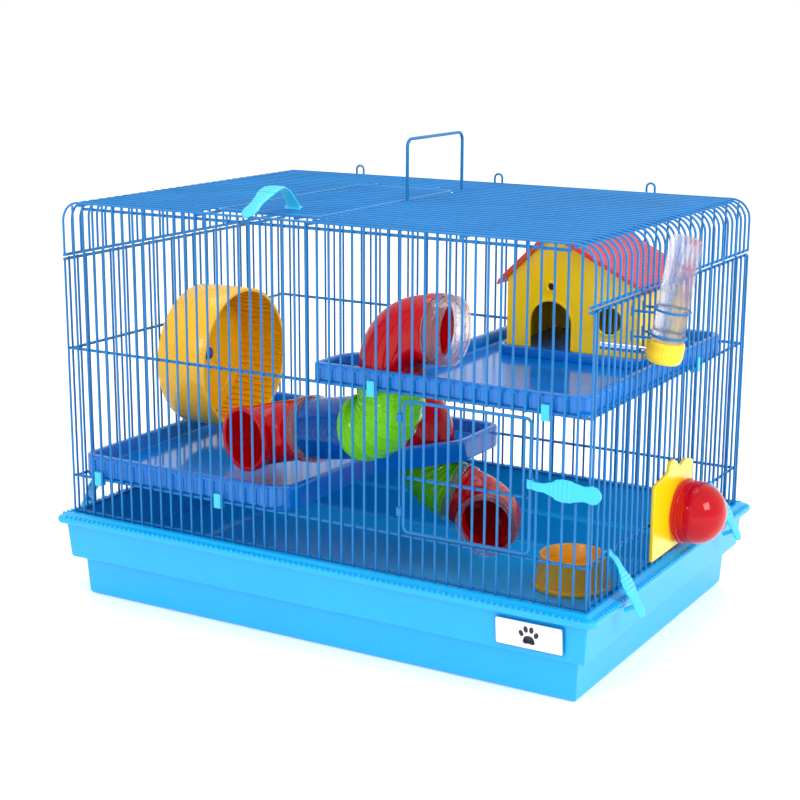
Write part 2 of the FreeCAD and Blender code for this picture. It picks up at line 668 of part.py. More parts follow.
def carry_handle():
    """Bail of round wire whose eyes turn on the middle cross bar of the roof."""
    body = new_body()
    path = sketch_on(body, "YZ_Plane", "0")
    eye_radius = f"({BAR} + Sheet.eye_clearance + Sheet.eye_wall)"
    front, back = number(HANDLE_FRONT), number(HANDLE_BACK)
    low = number(f"{UNDER_ROOF} + {eye_radius} - 0.3")
    top, r = size("handle_top"), size("handle_bend")
    quarter = math.pi / 2
    lines = [path.addGeometry(Part.LineSegment(Vector(*start, 0), Vector(*end, 0)), False)
             for start, end in (((front, low), (front, top - r)), ((front + r, top), (back - r, top)),
                                ((back, top - r), (back, low)))]
    arcs = []
    for centre_y, turn in ((front + r, 1), (back - r, 0)):
        ring = Part.Circle(Vector(centre_y, top - r, 0), Vector(0, 0, 1), r)
        arcs.append(path.addGeometry(Part.ArcOfCircle(ring, turn * quarter, (turn + 1) * quarter), False))
    path.addConstraint(Sketcher.Constraint("Tangent", lines[0], 2, arcs[0], 2))
    path.addConstraint(Sketcher.Constraint("Tangent", arcs[0], 1, lines[1], 1))
    path.addConstraint(Sketcher.Constraint("Tangent", lines[1], 2, arcs[1], 2))
    path.addConstraint(Sketcher.Constraint("Tangent", arcs[1], 1, lines[2], 1))
    pin_point(path, lines[0], 1, HANDLE_FRONT, f"{UNDER_ROOF} + {eye_radius} - 0.3")
    pin_point(path, lines[2], 2, HANDLE_BACK, f"{UNDER_ROOF} + {eye_radius} - 0.3")
    pin_point(path, arcs[0], 3, f"{HANDLE_FRONT} + Sheet.handle_bend",
              "Sheet.handle_top - Sheet.handle_bend")
    pin_point(path, arcs[1], 3, f"{HANDLE_BACK} - Sheet.handle_bend",
              "Sheet.handle_top - Sheet.handle_bend")
    section = sketch_on(body, "XY_Plane", f"{UNDER_ROOF} + {eye_radius} - 0.3")
    circle(section, "0", HANDLE_FRONT, "Sheet.handle_wire")
    sweep = body.newObject("PartDesign::AdditivePipe", "Pipe")
    sweep.Profile = section
    sweep.Spine = (path, [f"Edge{i + 1}" for i in range(5)])
    eye_length = 5
    for foot in (HANDLE_FRONT, HANDLE_BACK):
        rings = sketch_on(body, "XZ_Plane", f"-({foot} + {eye_length / 2})")
        circle(rings, "0", UNDER_ROOF, eye_radius)
        pad(body, rings, str(eye_length))
    for foot in (HANDLE_FRONT, HANDLE_BACK):
        bore = sketch_on(body, "XZ_Plane", f"-({foot} + {eye_length})")
        circle(bore, "0", UNDER_ROOF, f"{BAR} + Sheet.eye_clearance")
        pocket(body, bore, str(2 * eye_length), backwards=True)
    node(body, "carry_handle")


# ---------------------------------------------------------------- clips
def clip(name, pivot_radius, length, nub_at, nub_reach, rotation, x, y, z):
    """Snap clip: an eyed neck that turns on a bar, a waisted plate and a round thumb tab.

    Local frame: the pivot axis is X, the plate runs along +Y and its outer face looks along +Z.
    """
    body = new_body()
    inner = "Sheet.clip_gap"
    neck = "Sheet.clip_neck / 2"
    half = "Sheet.clip_width / 2"
    plate = sketch_on(body, "XY_Plane", inner)
    side = [(neck, "7"), (neck, f"{length} - 40"), (half, f"{length} - 28"),
            (f"{half} - 0.4", f"{length} - 20"), ("Sheet.clip_tab * 0.75", f"{length} - 7"),
            ("Sheet.clip_tab * 0.75", f"{length} - 3")]
    polygon(plate, side + [(f"-({x})", y) for x, y in reversed(side)])
    pad(body, plate, "Sheet.clip_thick")
    tab = sketch_on(body, "XY_Plane", inner)
    circle(tab, "0", length, "Sheet.clip_tab")
    pad(body, tab, "Sheet.clip_thick")
    eye_radius = f"({pivot_radius} + Sheet.eye_clearance + Sheet.eye_wall)"
    outer = "(Sheet.clip_gap + Sheet.clip_thick)"
    strap = sketch_on(body, "YZ_Plane", f"-{neck}")
    polygon(strap, [("0", "0"), ("2", "0.8"), ("9", inner), ("9", outer), ("1", outer),
                    (f"-{eye_radius} * 0.7", f"{eye_radius} * 0.7")])
    pad(body, strap, "Sheet.clip_neck")
    ring = sketch_on(body, "YZ_Plane", f"-{neck}")
    circle(ring, "0", "0", eye_radius)
    pad(body, ring, "Sheet.clip_neck")
    nub = sketch_on(body, "XY_Plane", f"{inner} - {nub_reach}")
    rectangle(nub, "2.5", "1.5", "0", nub_at)
    pad(body, nub, f"{nub_reach} + 0.5")
    bore = sketch_on(body, "YZ_Plane", "-20")
    circle(bore, "0", "0", f"{pivot_radius} + Sheet.eye_clearance")
    pocket(body, bore, "40", backwards=True)
    locate(body, x, y, z, rotation)
    node(body, name)


def side_clips():
    lean = math.radians(size("clip_lean"))
    rows = (("front", side_y(4)), ("back", side_y(24)))
    for word, side in (("right", 1), ("left", -1)):
        plate_way = (side * math.sin(lean), 0, -math.cos(lean))
        rotation = axes_rotation((0, -side, 0), plate_way)
        for row, place in rows:
            clip(f"clip_{word}_{row}", BAR, "Sheet.side_clip_length", "Sheet.side_clip_hook", "10.7",
                 rotation, f"{side} * ({HALF_LENGTH} - {STACK})", place, "Sheet.low_bar")


def front_latch():
    clip("front_latch", BAR, "Sheet.clip_length", "35", "2.2", axes_rotation((0, 0, -1), (1, 0, 0)),
         "Sheet.door_right", f"-{HALF_DEPTH}", "171")


def top_latch():
    """Arched clip that turns on a wire of the roof door and snaps over the front edge wire."""
    body = new_body()
    pivot = side_y(int(size("latch_row")))
    foot = 68
    half = 9
    arch = sketch_on(body, "YZ_Plane", f"Sheet.latch_spot - {half}")
    under = [(0, 2.2), (-13, 16.5), (-30, 18.6), (-50, 10.2), (-foot - 3, -1)]
    over = [(-foot - 4.5, 0.6), (-51, 12.4), (-30, 20.8), (-12, 18.5), (1.6, 3.4)]
    polygon(arch, [(f"{pivot} + ({y})", f"{ROOF} + ({z})") for y, z in under + over])
    pad(body, arch, str(2 * half))
    finger_width = 6
    eye_radius = f"({WIRE} + Sheet.eye_clearance + Sheet.eye_wall)"
    for side in (-1, 1):
        ring = sketch_on(body, "YZ_Plane", f"Sheet.latch_spot + {side * 5.5 - finger_width / 2}")
        circle(ring, pivot, ROOF, eye_radius)
        pad(body, ring, str(finger_width))
    bore = sketch_on(body, "YZ_Plane", f"Sheet.latch_spot - {2 * half}")
    circle(bore, pivot, ROOF, f"{WIRE} + Sheet.eye_clearance")
    pocket(body, bore, str(4 * half), backwards=True)
    node(body, "top_latch")


# ---------------------------------------------------------------- platforms
def platform_ring(outline, roundings, low, high, open_below):
    """Upright-walled shell over an outline; its top or its underside and top are open."""
    body = new_body()
    sole = sketch_on(body, "XY_Plane", low)
    polygon(sole, outline)
    pad(body, sole, f"{high} - {low}")
    doc.recompute()
    for radius, corners in roundings:
        spots = [(number(outline[i][0]), number(outline[i][1])) for i in corners]

        def chosen(edge, spots=spots):
            if not is_upright(edge):
                return False
            point = edge.Vertexes[0].Point
            return any(math.hypot(point.x - x, point.y - y) < 0.5 for x, y in spots)

        fillet_edges(body, chosen, radius)
    solid = body.Tip
    faces = range(len(solid.Shape.Faces))
    bounds = [solid.Shape.Faces[i].BoundBox for i in faces]
    top = max(faces, key=lambda i: bounds[i].ZMin)
    bottom = min(faces, key=lambda i: bounds[i].ZMax)
    shell = body.newObject("PartDesign::Thickness", "Shell")
    open_faces = (bottom,) if open_below == "only" else (top, bottom)
    shell.Base = (solid, [f"Face{i + 1}" for i in open_faces])
    shell.setExpression("Value", "Sheet.deck_thick")
    shell.Reversed = True
    shell.Join = 0
    doc.recompute()
    return body


def platform(name, outline, roundings, heights, hole):
    """Floor with a skirt below it, a lip above it and a round tube hole."""
    deck, floor, lip = heights
    fuse = doc.addObject("Part::Fuse", "Deck")
    fuse.Base = platform_ring(outline, roundings, deck, floor, "only")
    fuse.Tool = platform_ring(outline, roundings, floor, lip, "too")
    bore = rod("Sheet.tube_radius - Sheet.tube_wall", f"{lip} - {deck}", hole[0], hole[1], deck, "z")
    cut = doc.addObject("Part::Cut", "Platform")
    cut.Base = fuse
    cut.Tool = bore
    cut.Refine = True
    node(cut, name)


def platforms():
    side, front, back = "Sheet.deck_side", "Sheet.deck_front", "Sheet.deck_back"
    lower = [(f"-{side}", f"-{front}"), ("-23", f"-{front}"), ("-23", "-25"), ("27", "55"),
             ("27", back), (f"-{side}", back)]
    platform("lower_platform", lower, [("22", [1, 2, 3]), ("14", [0, 4, 5])],
             ("Sheet.lower_deck", "Sheet.lower_floor", "Sheet.lower_lip"),
             ("Sheet.lower_hole_x", "Sheet.lower_hole_y"))
    upper = [("2", f"-{front}"), (side, f"-{front}"), (side, back), ("64", back), ("64", "-98"),
             ("2", "-98")]
    platform("upper_platform", upper, [("34", [5]), ("16", [1, 2, 3, 4]), ("7", [0])],
             ("Sheet.upper_deck", "Sheet.upper_floor", "Sheet.upper_lip"),
             ("Sheet.upper_hole_x", "Sheet.upper_hole_y"))


def hook_block(x, y, bar_height, rotation):
    """Small block that grips a cross bar and reaches under the platform. Local -Y is outwards."""
    body = new_body()
    side = sketch_on(body, "YZ_Plane", "-3.5")
    polygon(side, [("-1.9", "-6"), ("4.6", "-6"), ("4.6", "-1.8"), ("1.6", "-1.8"), ("1.6", "6.5"),
                   ("-1.9", "6.5")])
    pad(body, side, "7")
    bore = sketch_on(body, "YZ_Plane", "-5")
    circle(bore, "0", "0", f"{BAR} + 0.01")
    pocket(body, bore, "10", backwards=True)
    return locate(body, x, y, bar_height, rotation)


def platform_hooks():
    front = f"-({HALF_DEPTH} - {STACK})"
    side = f"({HALF_LENGTH} - {STACK})"
    quarter = Rotation(Vector(0, 0, 1), 90)
    compound([hook_block(front_x(2.5), front, "Sheet.low_bar", None),
              hook_block(front_x(14.5), front, "Sheet.low_bar", None),
              hook_block(f"-{side}", side_y(9), "Sheet.low_bar", quarter.inverted())], "lower_hooks")
    compound([hook_block(front_x(28.5), front, "Sheet.high_bar", None),
              hook_block(front_x(42.5), front, "Sheet.high_bar", None),
              hook_block(side, side_y(20), "Sheet.high_bar", quarter)], "upper_hooks")


# ---------------------------------------------------------------- tubes
def direction(azimuth, elevation):
    """Unit vector from its angles in degrees."""
    a, e = math.radians(azimuth), math.radians(elevation)
    return Vector(math.cos(a) * math.cos(e), math.sin(a) * math.cos(e), math.sin(e))


def square_to(way, run):
    """Unit vector nearest to a direction and at right angles to a run."""
    return (way - run * way.dot(run)).normalize()


def tube_ring(sketch, outer):
    circle(sketch, "0", "0", "Sheet.tube_radius - Sheet.tube_wall")
    circle(sketch, "0", "0", outer)


def elbow(name, start, heading, leaving, first_collar, last_collar):
    """Hollow bend from a start point, with a collar at each end. Returns the point where it ends.

    Local frame: the tube starts along +Z and bends towards +X.
    """
    turn = math.degrees(heading.getAngle(leaving))
    body = new_body()
    section = sketch_on(body, "XY_Plane", "0")
    tube_ring(section, "Sheet.tube_radius")
    axis = section.addGeometry(Part.LineSegment(Vector(size("tube_bend"), -50, 0),
                                                Vector(size("tube_bend"), 50, 0)), True)
    pin_point(section, axis, 1, "Sheet.tube_bend", "-50")
    pin_point(section, axis, 2, "Sheet.tube_bend", "50")
    arc = revolve(body, section, turn, axis=(section, ["Axis0"]))
    arc.Reversed = False
    doc.recompute()
    if arc.Shape.BoundBox.ZMin < -0.5:
        arc.Reversed = True
    entry = sketch_on(body, "XY_Plane", "0")
    tube_ring(entry, "Sheet.collar_radius")
    pad(body, entry, first_collar, backwards=True)
    angle = math.radians(turn)
    bend_radius = size("tube_bend")
    tip = Vector(bend_radius * (1 - math.cos(angle)), 0, bend_radius * math.sin(angle))
    exit_frame = Placement(tip, Rotation(Vector(0, 1, 0), turn))
    mouth = sketch_on(body, "XY_Plane", offset_placement=exit_frame)
    tube_ring(mouth, "Sheet.collar_radius")
    pad(body, mouth, last_collar)
    sideways = leaving - heading * heading.dot(leaving)
    sideways.normalize()
    rotation = Rotation(sideways, heading.cross(sideways), heading, "ZXY")
    body.Placement = Placement(start, rotation)
    node(body, name)
    return start + rotation.multVec(tip)


def short_tube(start, along, length, outer):
    """Straight tube or ring that starts at a point."""
    body = new_body()
    section = sketch_on(body, "XY_Plane", "0")
    tube_ring(section, outer)
    pad(body, section, length)
    body.Placement = Placement(start, Rotation(Vector(0, 0, 1), along))
    return body


def tube_run():
    """Elbows through both platforms, the straight tube between them and the clear couplers."""
    collar = size("collar_length")
    coupler = size("coupler_length")
    up, down = Vector(0, 0, 1), Vector(0, 0, -1)
    couplers = []

    def add_coupler(place, way, slim=False):
        outer = "Sheet.coupler_radius - 1.2" if slim else "Sheet.coupler_radius"
        couplers.append(short_tube(place, way, "Sheet.coupler_length", outer))
        return place + way * coupler

    # upper platform: one elbow above the hole, one below it
    deck = Vector(size("upper_hole_x"), size("upper_hole_y"), size("upper_floor"))
    entrance = Vector(1, 0, 0)
    end = elbow("elbow_upper_top", deck + up * collar, up, entrance, "Sheet.collar_length",
                "Sheet.collar_length")
    end = add_coupler(end + entrance * collar, entrance)
    add_coupler(end, entrance, slim=True)
    first = 12
    under = deck + down * (size("deck_thick") + first)
    run = direction(164.5, -12)
    end = elbow("elbow_upper_under", under, down, run, str(first), "Sheet.collar_length")
    end = end + run * collar
    link = short_tube(end, run, "Sheet.link_length", "Sheet.tube_radius")
    node(link, "link_tube")
    end = add_coupler(end + run * size("link_length"), run)
    mouth = square_to(direction(260, 0), run)
    end = elbow("elbow_lower_left", end + run * collar, run, mouth, "Sheet.collar_length",
                "Sheet.collar_length")
    # lower platform: one elbow above the hole, two below it down to the tray
    deck = Vector(size("lower_hole_x"), size("lower_hole_y"), size("lower_floor"))
    elbow("elbow_lower_top", deck + up * collar, up, Vector(-1, 0, 0), "Sheet.collar_length",
          "Sheet.collar_length")
    first = 3
    last = 2
    under = deck + down * (size("deck_thick") + first)
    run = direction(10, -16)
    end = elbow("elbow_lower_under", under, down, run, str(first), str(last))
    end = add_coupler(end + run * last, run)
    mouth = square_to(direction(274, 0), run)
    end = elbow("elbow_floor", end + run * collar, run, mouth, "Sheet.collar_length",
                "Sheet.collar_length")
    add_coupler(end + mouth * collar, mouth)
    compound(couplers, "clear_couplers")


# ---------------------------------------------------------------- wheel
def wheel():
    """Drum closed on one side, ribbed inside, turning on a pin carried by the left panel."""
    body = new_body()
    hub_radius = 9
    drum = sketch_on(body, "XY_Plane", "0")
    back, front = "Sheet.wheel_back", "(Sheet.wheel_back + Sheet.wheel_width)"
    bore = "Sheet.axle_radius + Sheet.axle_clearance"
    rim, skin = "Sheet.wheel_radius", "Sheet.wheel_skin"
    polygon(drum, [(back, bore), (back, rim), (front, rim), (front, f"{rim} - {skin}"),
                   (f"{back} + {skin}", f"{rim} - {skin}"), (f"{back} + {skin}", str(hub_radius)),
                   (f"{back} + 9", str(hub_radius - 1)), (f"{back} + 9", bore)])
    revolve(body, drum, axis=(drum, ["H_Axis"]))
    doc.recompute()
    rib = sketch_on(body, "YZ_Plane", f"{back} + {skin}")
    rectangle(rib, "0.8", "0.9", "0", f"{rim} - {skin} - 0.4")
    tread = pad(body, rib, f"Sheet.wheel_width - {skin} - 3")
    doc.recompute()
    ring = body.newObject("PartDesign::PolarPattern", "Ribs")
    ring.Originals = [tread]
    ring.Axis = (origin_feature(body, "X_Axis"), [""])
    ring.Angle = 360
    ring.Occurrences = 40
    body.Tip = ring
    locate(body, "0", "Sheet.wheel_y", "Sheet.wheel_z")
    node(body, "wheel_drum")


def wheel_mount():
    """Pin with a head inside the drum, and the bracket that hangs on the left panel's wires."""
    pin = new_body()
    section = sketch_on(pin, "XY_Plane", "0")
    head = 6.2
    polygon(section, [("-243", "0"), ("-243", "Sheet.axle_radius"),
                      ("Sheet.wheel_back + 9.4", "Sheet.axle_radius"), ("Sheet.wheel_back + 9.4", str(head)),
                      ("Sheet.wheel_back + 11", str(head - 0.6)), ("Sheet.wheel_back + 12.6", "3"),
                      ("Sheet.wheel_back + 13", "0")])
    revolve(pin, section, axis=(section, ["H_Axis"]))
    locate(pin, "0", "Sheet.wheel_y", "Sheet.wheel_z")
    node(pin, "wheel_axle")
    bracket = new_body()
    plate = sketch_on(bracket, "YZ_Plane", "-246")
    rectangle(plate, "17", "34", "Sheet.wheel_y", "Sheet.wheel_z + 6")
    pad(bracket, plate, "3")
    doc.recompute()
    fillet_edges(bracket, lambda edge: abs(edge.Vertexes[0].X - edge.Vertexes[-1].X) > 2, "6")
    boss = sketch_on(bracket, "YZ_Plane", "-244")
    circle(boss, "Sheet.wheel_y", "Sheet.wheel_z", "9")
    pad(bracket, boss, "18")
    bore = sketch_on(bracket, "YZ_Plane", "-243")
    circle(bore, "Sheet.wheel_y", "Sheet.wheel_z", "Sheet.axle_radius")
    pocket(bracket, bore, "20", backwards=True)
    for height in (-24, 36):
        hook = sketch_on(bracket, "YZ_Plane", "-253.5")
        rectangle(hook, "3.6", "2", side_y(14), f"Sheet.wheel_z + {height}")
        pad(bracket, hook, "8.5")
    node(bracket, "wheel_bracket")


# ---------------------------------------------------------------- house
def gable(sketch, inset, foot, drop):
    """House section with its ridge off the middle."""
    polygon(sketch, [(f"Sheet.house_left + {inset}", foot), (f"Sheet.house_right - {inset}", foot),
                     (f"Sheet.house_right - {inset}", f"Sheet.house_eaves - {drop}"),
                     ("Sheet.house_apex_x", f"Sheet.house_apex_z - {drop}"),
                     (f"Sheet.house_left + {inset}", f"Sheet.house_eaves - {drop}")])


def house():
    walls = new_body()
    block = sketch_on(walls, "XZ_Plane", "-Sheet.house_front")
    gable(block, "0", "Sheet.house_foot", "0")
    pad(walls, block, "Sheet.house_depth", backwards=True)
    room = sketch_on(walls, "XZ_Plane", "-(Sheet.house_front + Sheet.house_skin)")
    gable(room, "Sheet.house_skin", "Sheet.house_foot - 5", "Sheet.house_skin")
    pocket(walls, room, "Sheet.house_depth - 2 * Sheet.house_skin")
    face = "-(Sheet.house_front - 5)"
    doorway = sketch_on(walls, "XZ_Plane", face)
    half = "Sheet.doorway_width / 2"
    straight = "(Sheet.house_foot + Sheet.doorway_height - Sheet.doorway_width / 2)"
    rectangle(doorway, half, f"({straight} - Sheet.house_foot) / 2 + 1", "Sheet.house_apex_x",
              f"({straight} + Sheet.house_foot) / 2 - 1")
    pocket(walls, doorway, "10")
    arch = sketch_on(walls, "XZ_Plane", face)
    circle(arch, "Sheet.house_apex_x", straight, half)
    pocket(walls, arch, "10")
    for x, z, radius in (("190", "268", "Sheet.window_radius"), ("Sheet.house_apex_x", "292", "3.3")):
        hole = sketch_on(walls, "XZ_Plane", face)
        circle(hole, x, z, radius)
        pocket(walls, hole, "10")
    node(walls, "house_walls")

    roof = new_body()
    thick = 4.6
    left_run = size("house_apex_x") - size("house_left")
    right_run = size("house_right") - size("house_apex_x")
    rise = size("house_apex_z") - size("house_eaves")
    over = size("roof_overhang")
    left_drop = f"Sheet.roof_overhang * {rise / left_run:.4f}"
    right_drop = f"Sheet.roof_overhang * {rise / right_run:.4f}"
    gap = "0.15"
    left_lift = thick * math.hypot(rise, left_run) / left_run
    right_lift = thick * math.hypot(rise, right_run) / right_run
    ridge_lift = max(left_lift, right_lift)
    section = sketch_on(roof, "XZ_Plane", "-(Sheet.house_front - Sheet.roof_overhang)")
    left_x = "Sheet.house_left - Sheet.roof_overhang"
    right_x = "Sheet.house_right + Sheet.roof_overhang"
    polygon(section, [
        (left_x, f"Sheet.house_eaves - {left_drop} + {gap}"),
        ("Sheet.house_apex_x", f"Sheet.house_apex_z + {gap}"),
        (right_x, f"Sheet.house_eaves - {right_drop} + {gap}"),
        (right_x, f"Sheet.house_eaves - {right_drop} + {gap} + {right_lift:.3f}"),
        ("Sheet.house_apex_x + 6", f"Sheet.house_apex_z + {gap} + {ridge_lift - 2.6:.3f}"),
        ("Sheet.house_apex_x", f"Sheet.house_apex_z + {gap} + {ridge_lift - 1.0:.3f}"),
        ("Sheet.house_apex_x - 4", f"Sheet.house_apex_z + {gap} + {ridge_lift - 3.8:.3f}"),
        (left_x, f"Sheet.house_eaves - {left_drop} + {gap} + {left_lift:.3f}")])
    pad(roof, section, "Sheet.house_depth + 2 * Sheet.roof_overhang", backwards=True)
    node(roof, "house_roof")

    base = new_body()
    plinth = sketch_on(base, "XY_Plane", "Sheet.upper_floor")
    rectangle(plinth, "67.5", "57", "157.5", "47.5")
    pad(base, plinth, "Sheet.house_foot - Sheet.upper_floor")
    fillet_edges(base, is_upright, "12")
    node(base, "house_base")


# ---------------------------------------------------------------- bottle
def bottle():
    lean = math.radians(size("bottle_lean"))
    up = Vector(math.sin(lean), 0, math.cos(lean))
    tilt = Rotation(Vector(0, 0, 1), up)
    foot = ("Sheet.bottle_foot_x", BOTTLE_Y, "Sheet.bottle_foot_z")
    cap_top = "Sheet.bottle_cap_length"

    vessel = new_body()
    wall = sketch_on(vessel, "XZ_Plane", "0")
    r = "Sheet.bottle_radius"
    low = f"{cap_top} + 0.1"
    high = f"{cap_top} + 0.1 + Sheet.bottle_length"
    polygon(wall, [("0", low), (r, low), (r, f"{high} - 6"), (f"{r} - 3", f"{high} - 1"),
                   (f"{r} - 5", high), ("0", high), ("0", f"{high} - 1.4"), (f"{r} - 5.5", f"{high} - 1.4"),
                   (f"{r} - 1.4", f"{high} - 6.5"), (f"{r} - 1.4", f"{low} + 1.4"), ("0", f"{low} + 1.4")])
    revolve(vessel, wall)
    locate(vessel, *foot, tilt)
    node(vessel, "bottle_body")

    cap = new_body()
    shape = sketch_on(cap, "XZ_Plane", "0")
    c = "Sheet.bottle_cap_radius"
    polygon(shape, [("0", "0"), (f"{c} - 3", "0"), (f"{c} - 0.6", "3"), (c, "6"), (c, cap_top),
                    ("0", cap_top)])
    revolve(cap, shape)
    locate(cap, *foot, tilt)
    node(cap, "bottle_cap")

    spout = new_body()
    reach = 40
    pipe = sketch_on(spout, "YZ_Plane", f"Sheet.bottle_foot_x - Sheet.bottle_cap_radius + 3 - {reach}")
    circle(pipe, "0", "0", "Sheet.spout_radius")
    circle(pipe, "0", "0", "Sheet.spout_radius - 0.8")
    pad(spout, pipe, f"{reach}")
    locate(spout, "0", BOTTLE_Y, "Sheet.bottle_foot_z + 8")
    node(spout, "bottle_spout")


def bottle_holder():
    """Two wire loops round the bottle, each with two arms hooked behind the right panel's wires."""
    lean = math.radians(size("bottle_lean"))
    tilt = Rotation(Vector(0, 0, 1), Vector(math.sin(lean), 0, math.cos(lean)))
    pieces = []
    ring_radius = "(Sheet.bottle_radius + Sheet.wire_radius + 0.35)"
    gap = number(SIDE_PITCH)
    hook_x = f"({HALF_LENGTH} - 2 * {WIRE} - 0.1)"
    for height in (22, 42):
        run = height * math.sin(lean)
        rise = height * math.cos(lean)
        loop_x = f"(Sheet.bottle_foot_x + {run:.3f})"
        loop_z = f"(Sheet.bottle_foot_z + {rise:.3f})"
        loop = doc.addObject("Part::Torus", "Loop")
        loop.setExpression("Radius1", ring_radius)
        loop.setExpression("Radius2", WIRE)
        pieces.append(locate(loop, loop_x, BOTTLE_Y, loop_z, tilt))
        along = math.sqrt(number(ring_radius) ** 2 - gap ** 2)
        arm = f"{loop_x} - {along:.3f} - {WIRE} - {hook_x}"
        for side in (-1, 1):
            arm_y = f"({BOTTLE_Y} + {side} * {SIDE_PITCH})"
            pieces.append(rod(WIRE, arm, hook_x, arm_y, f"{loop_z} - {along * math.sin(lean):.3f}", "x"))
            pieces.append(rod(WIRE, "8", f"{hook_x} - {WIRE}", arm_y,
                              f"{loop_z} - {along * math.sin(lean):.3f} - 4", "z"))
    compound(pieces, "bottle_holder")


# ---------------------------------------------------------------- exit port
def exit_port():
    plate = new_body()
    sheet_face = sketch_on(plate, "YZ_Plane", "Sheet.plate_face")
    front, back = "Sheet.plate_front", "Sheet.plate_back"
    foot, head = "Sheet.plate_foot", "Sheet.plate_head"
    ear, middle = f"({head} + Sheet.ear_height)", "Sheet.port_y"
    polygon(sheet_face, [(front, foot), (back, foot), (back, f"{ear} - 11"), (f"{back} - 3", f"{ear} - 9"),
                         (f"{middle} + 8", f"{ear} - 5.5"), (f"{middle} - 4.5", f"{ear} - 9"),
                         (f"{middle} - 18.5", ear), (f"{middle} - 27", f"{ear} - 1"),
                         (f"{middle} - 30", f"{head} + 5"), (f"{middle} - 35.5", f"{head} + 3"),
                         (f"{front} + 3", head), (front, f"{head} - 3")])
    pad(plate, sheet_face, "Sheet.plate_thick")
    bore = sketch_on(plate, "YZ_Plane", "Sheet.plate_face - 1")
    circle(bore, "Sheet.port_y", "Sheet.port_z", "Sheet.port_bore")
    pocket(plate, bore, "Sheet.plate_thick + 2", backwards=True)
    node(plate, "exit_plate")

    collar = new_body()
    ring = sketch_on(collar, "YZ_Plane", "Sheet.plate_face + Sheet.plate_thick")
    circle(ring, "Sheet.port_y", "Sheet.port_z", "Sheet.port_bore")
    circle(ring, "Sheet.port_y", "Sheet.port_z", "Sheet.port_bore + Sheet.port_wall")
    pad(collar, ring, "Sheet.port_collar")
    node(collar, "exit_collar")

    cap = new_body()
    section = sketch_on(cap, "XY_Plane", "0")
    start = "Sheet.plate_face + Sheet.plate_thick + 3"
    bend = f"({start} + Sheet.cap_tube)"
    inner = f"(Sheet.port_bore + Sheet.port_wall + {SLIP})"
    outer = f"({inner} + Sheet.cap_wall)"
    points = [(start, inner), (start, f"{outer} + Sheet.cap_flange"),
              (f"{start} + 3", f"{outer} + Sheet.cap_flange"), (f"{start} + 3", outer), (bend, outer)]
    steps = [math.radians(angle) for angle in (20, 40, 60, 80)]
    points += [(f"{bend} + Sheet.cap_dome * {math.sin(a):.4f}", f"{outer} * {math.cos(a):.4f}")
               for a in steps]
    points += [(f"{bend} + Sheet.cap_dome", "0"), (f"{bend} + Sheet.cap_dome - Sheet.cap_wall", "0")]
    points += [(f"{bend} + (Sheet.cap_dome - Sheet.cap_wall) * {math.sin(a):.4f}",
                f"{inner} * {math.cos(a):.4f}") for a in reversed(steps)]
    points.append((bend, inner))
    polygon(section, points)
    revolve(cap, section, axis=(section, ["H_Axis"]))
    locate(cap, "0", "Sheet.port_y", "Sheet.port_z")
    node(cap, "exit_cap")


def food_bowl():
    body = new_body()
    side = sketch_on(body, "XZ_Plane", "0")
    foot, lip, rise = "Sheet.bowl_foot_radius", "Sheet.bowl_lip_radius", "Sheet.bowl_height"
    polygon(side, [("0", "0"), (foot, "0"), (foot, "4"), (lip, f"{rise} - 2"), (lip, rise),
                   (f"{lip} - 2.2", rise), (f"{lip} - 4", "8"), (f"{lip} - 8", "4"), ("0", "4")])
    revolve(body, side)
    locate(body, "Sheet.bowl_x", "Sheet.bowl_y", "Sheet.tray_floor + 0.02")
    node(body, "food_bowl")


# ---------------------------------------------------------------- build
base_tray()
label_plate()
food_bowl()
long_panel("front_panel", -1, True)
long_panel("back_panel", 1, False)
side_panel("left_panel", -1, False)
side_panel("right_panel", 1, True)
roof_panel()
back_hooks()
front_door()
front_latch()
roof_door()
top_latch()
carry_handle()
side_clips()
platforms()
platform_hooks()
tube_run()
wheel()
wheel_mount()
house()
bottle()
bottle_holder()
exit_port()
doc.recompute()

# ---------------------------------------------------------------- checks and files
for item in doc.Objects:
    if "Invalid" in item.State or "Error" in item.State:
        raise RuntimeError(f"{item.Name} ({item.Label}) failed: {item.State}")
os.makedirs("parts", exist_ok=True)
for piece in NODES:
    shape = piece.Shape
    if shape.isNull() or not shape.isValid() or shape.Volume <= 0:
        raise RuntimeError("bad shape in " + piece.Label)
    box = shape.BoundBox
    print(f"{piece.Label:20s} solids {len(shape.Solids):4d}  volume {shape.Volume / 1000:9.2f} cm3  "
          f"x {box.XMin:.1f}..{box.XMax:.1f}  y {box.YMin:.1f}..{box.YMax:.1f}  "
          f"z {box.ZMin:.1f}..{box.ZMax:.1f}")
    shape.exportStep(f"parts/{piece.Label}.step")
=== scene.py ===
"""Two-storey hamster cage on a cyan tray. Lengths are millimetres until a mesh is made, +Z up."""
import math

import bmesh
import bpy
from mathutils import Matrix, Vector
from mathutils.geometry import delaunay_2d_cdt


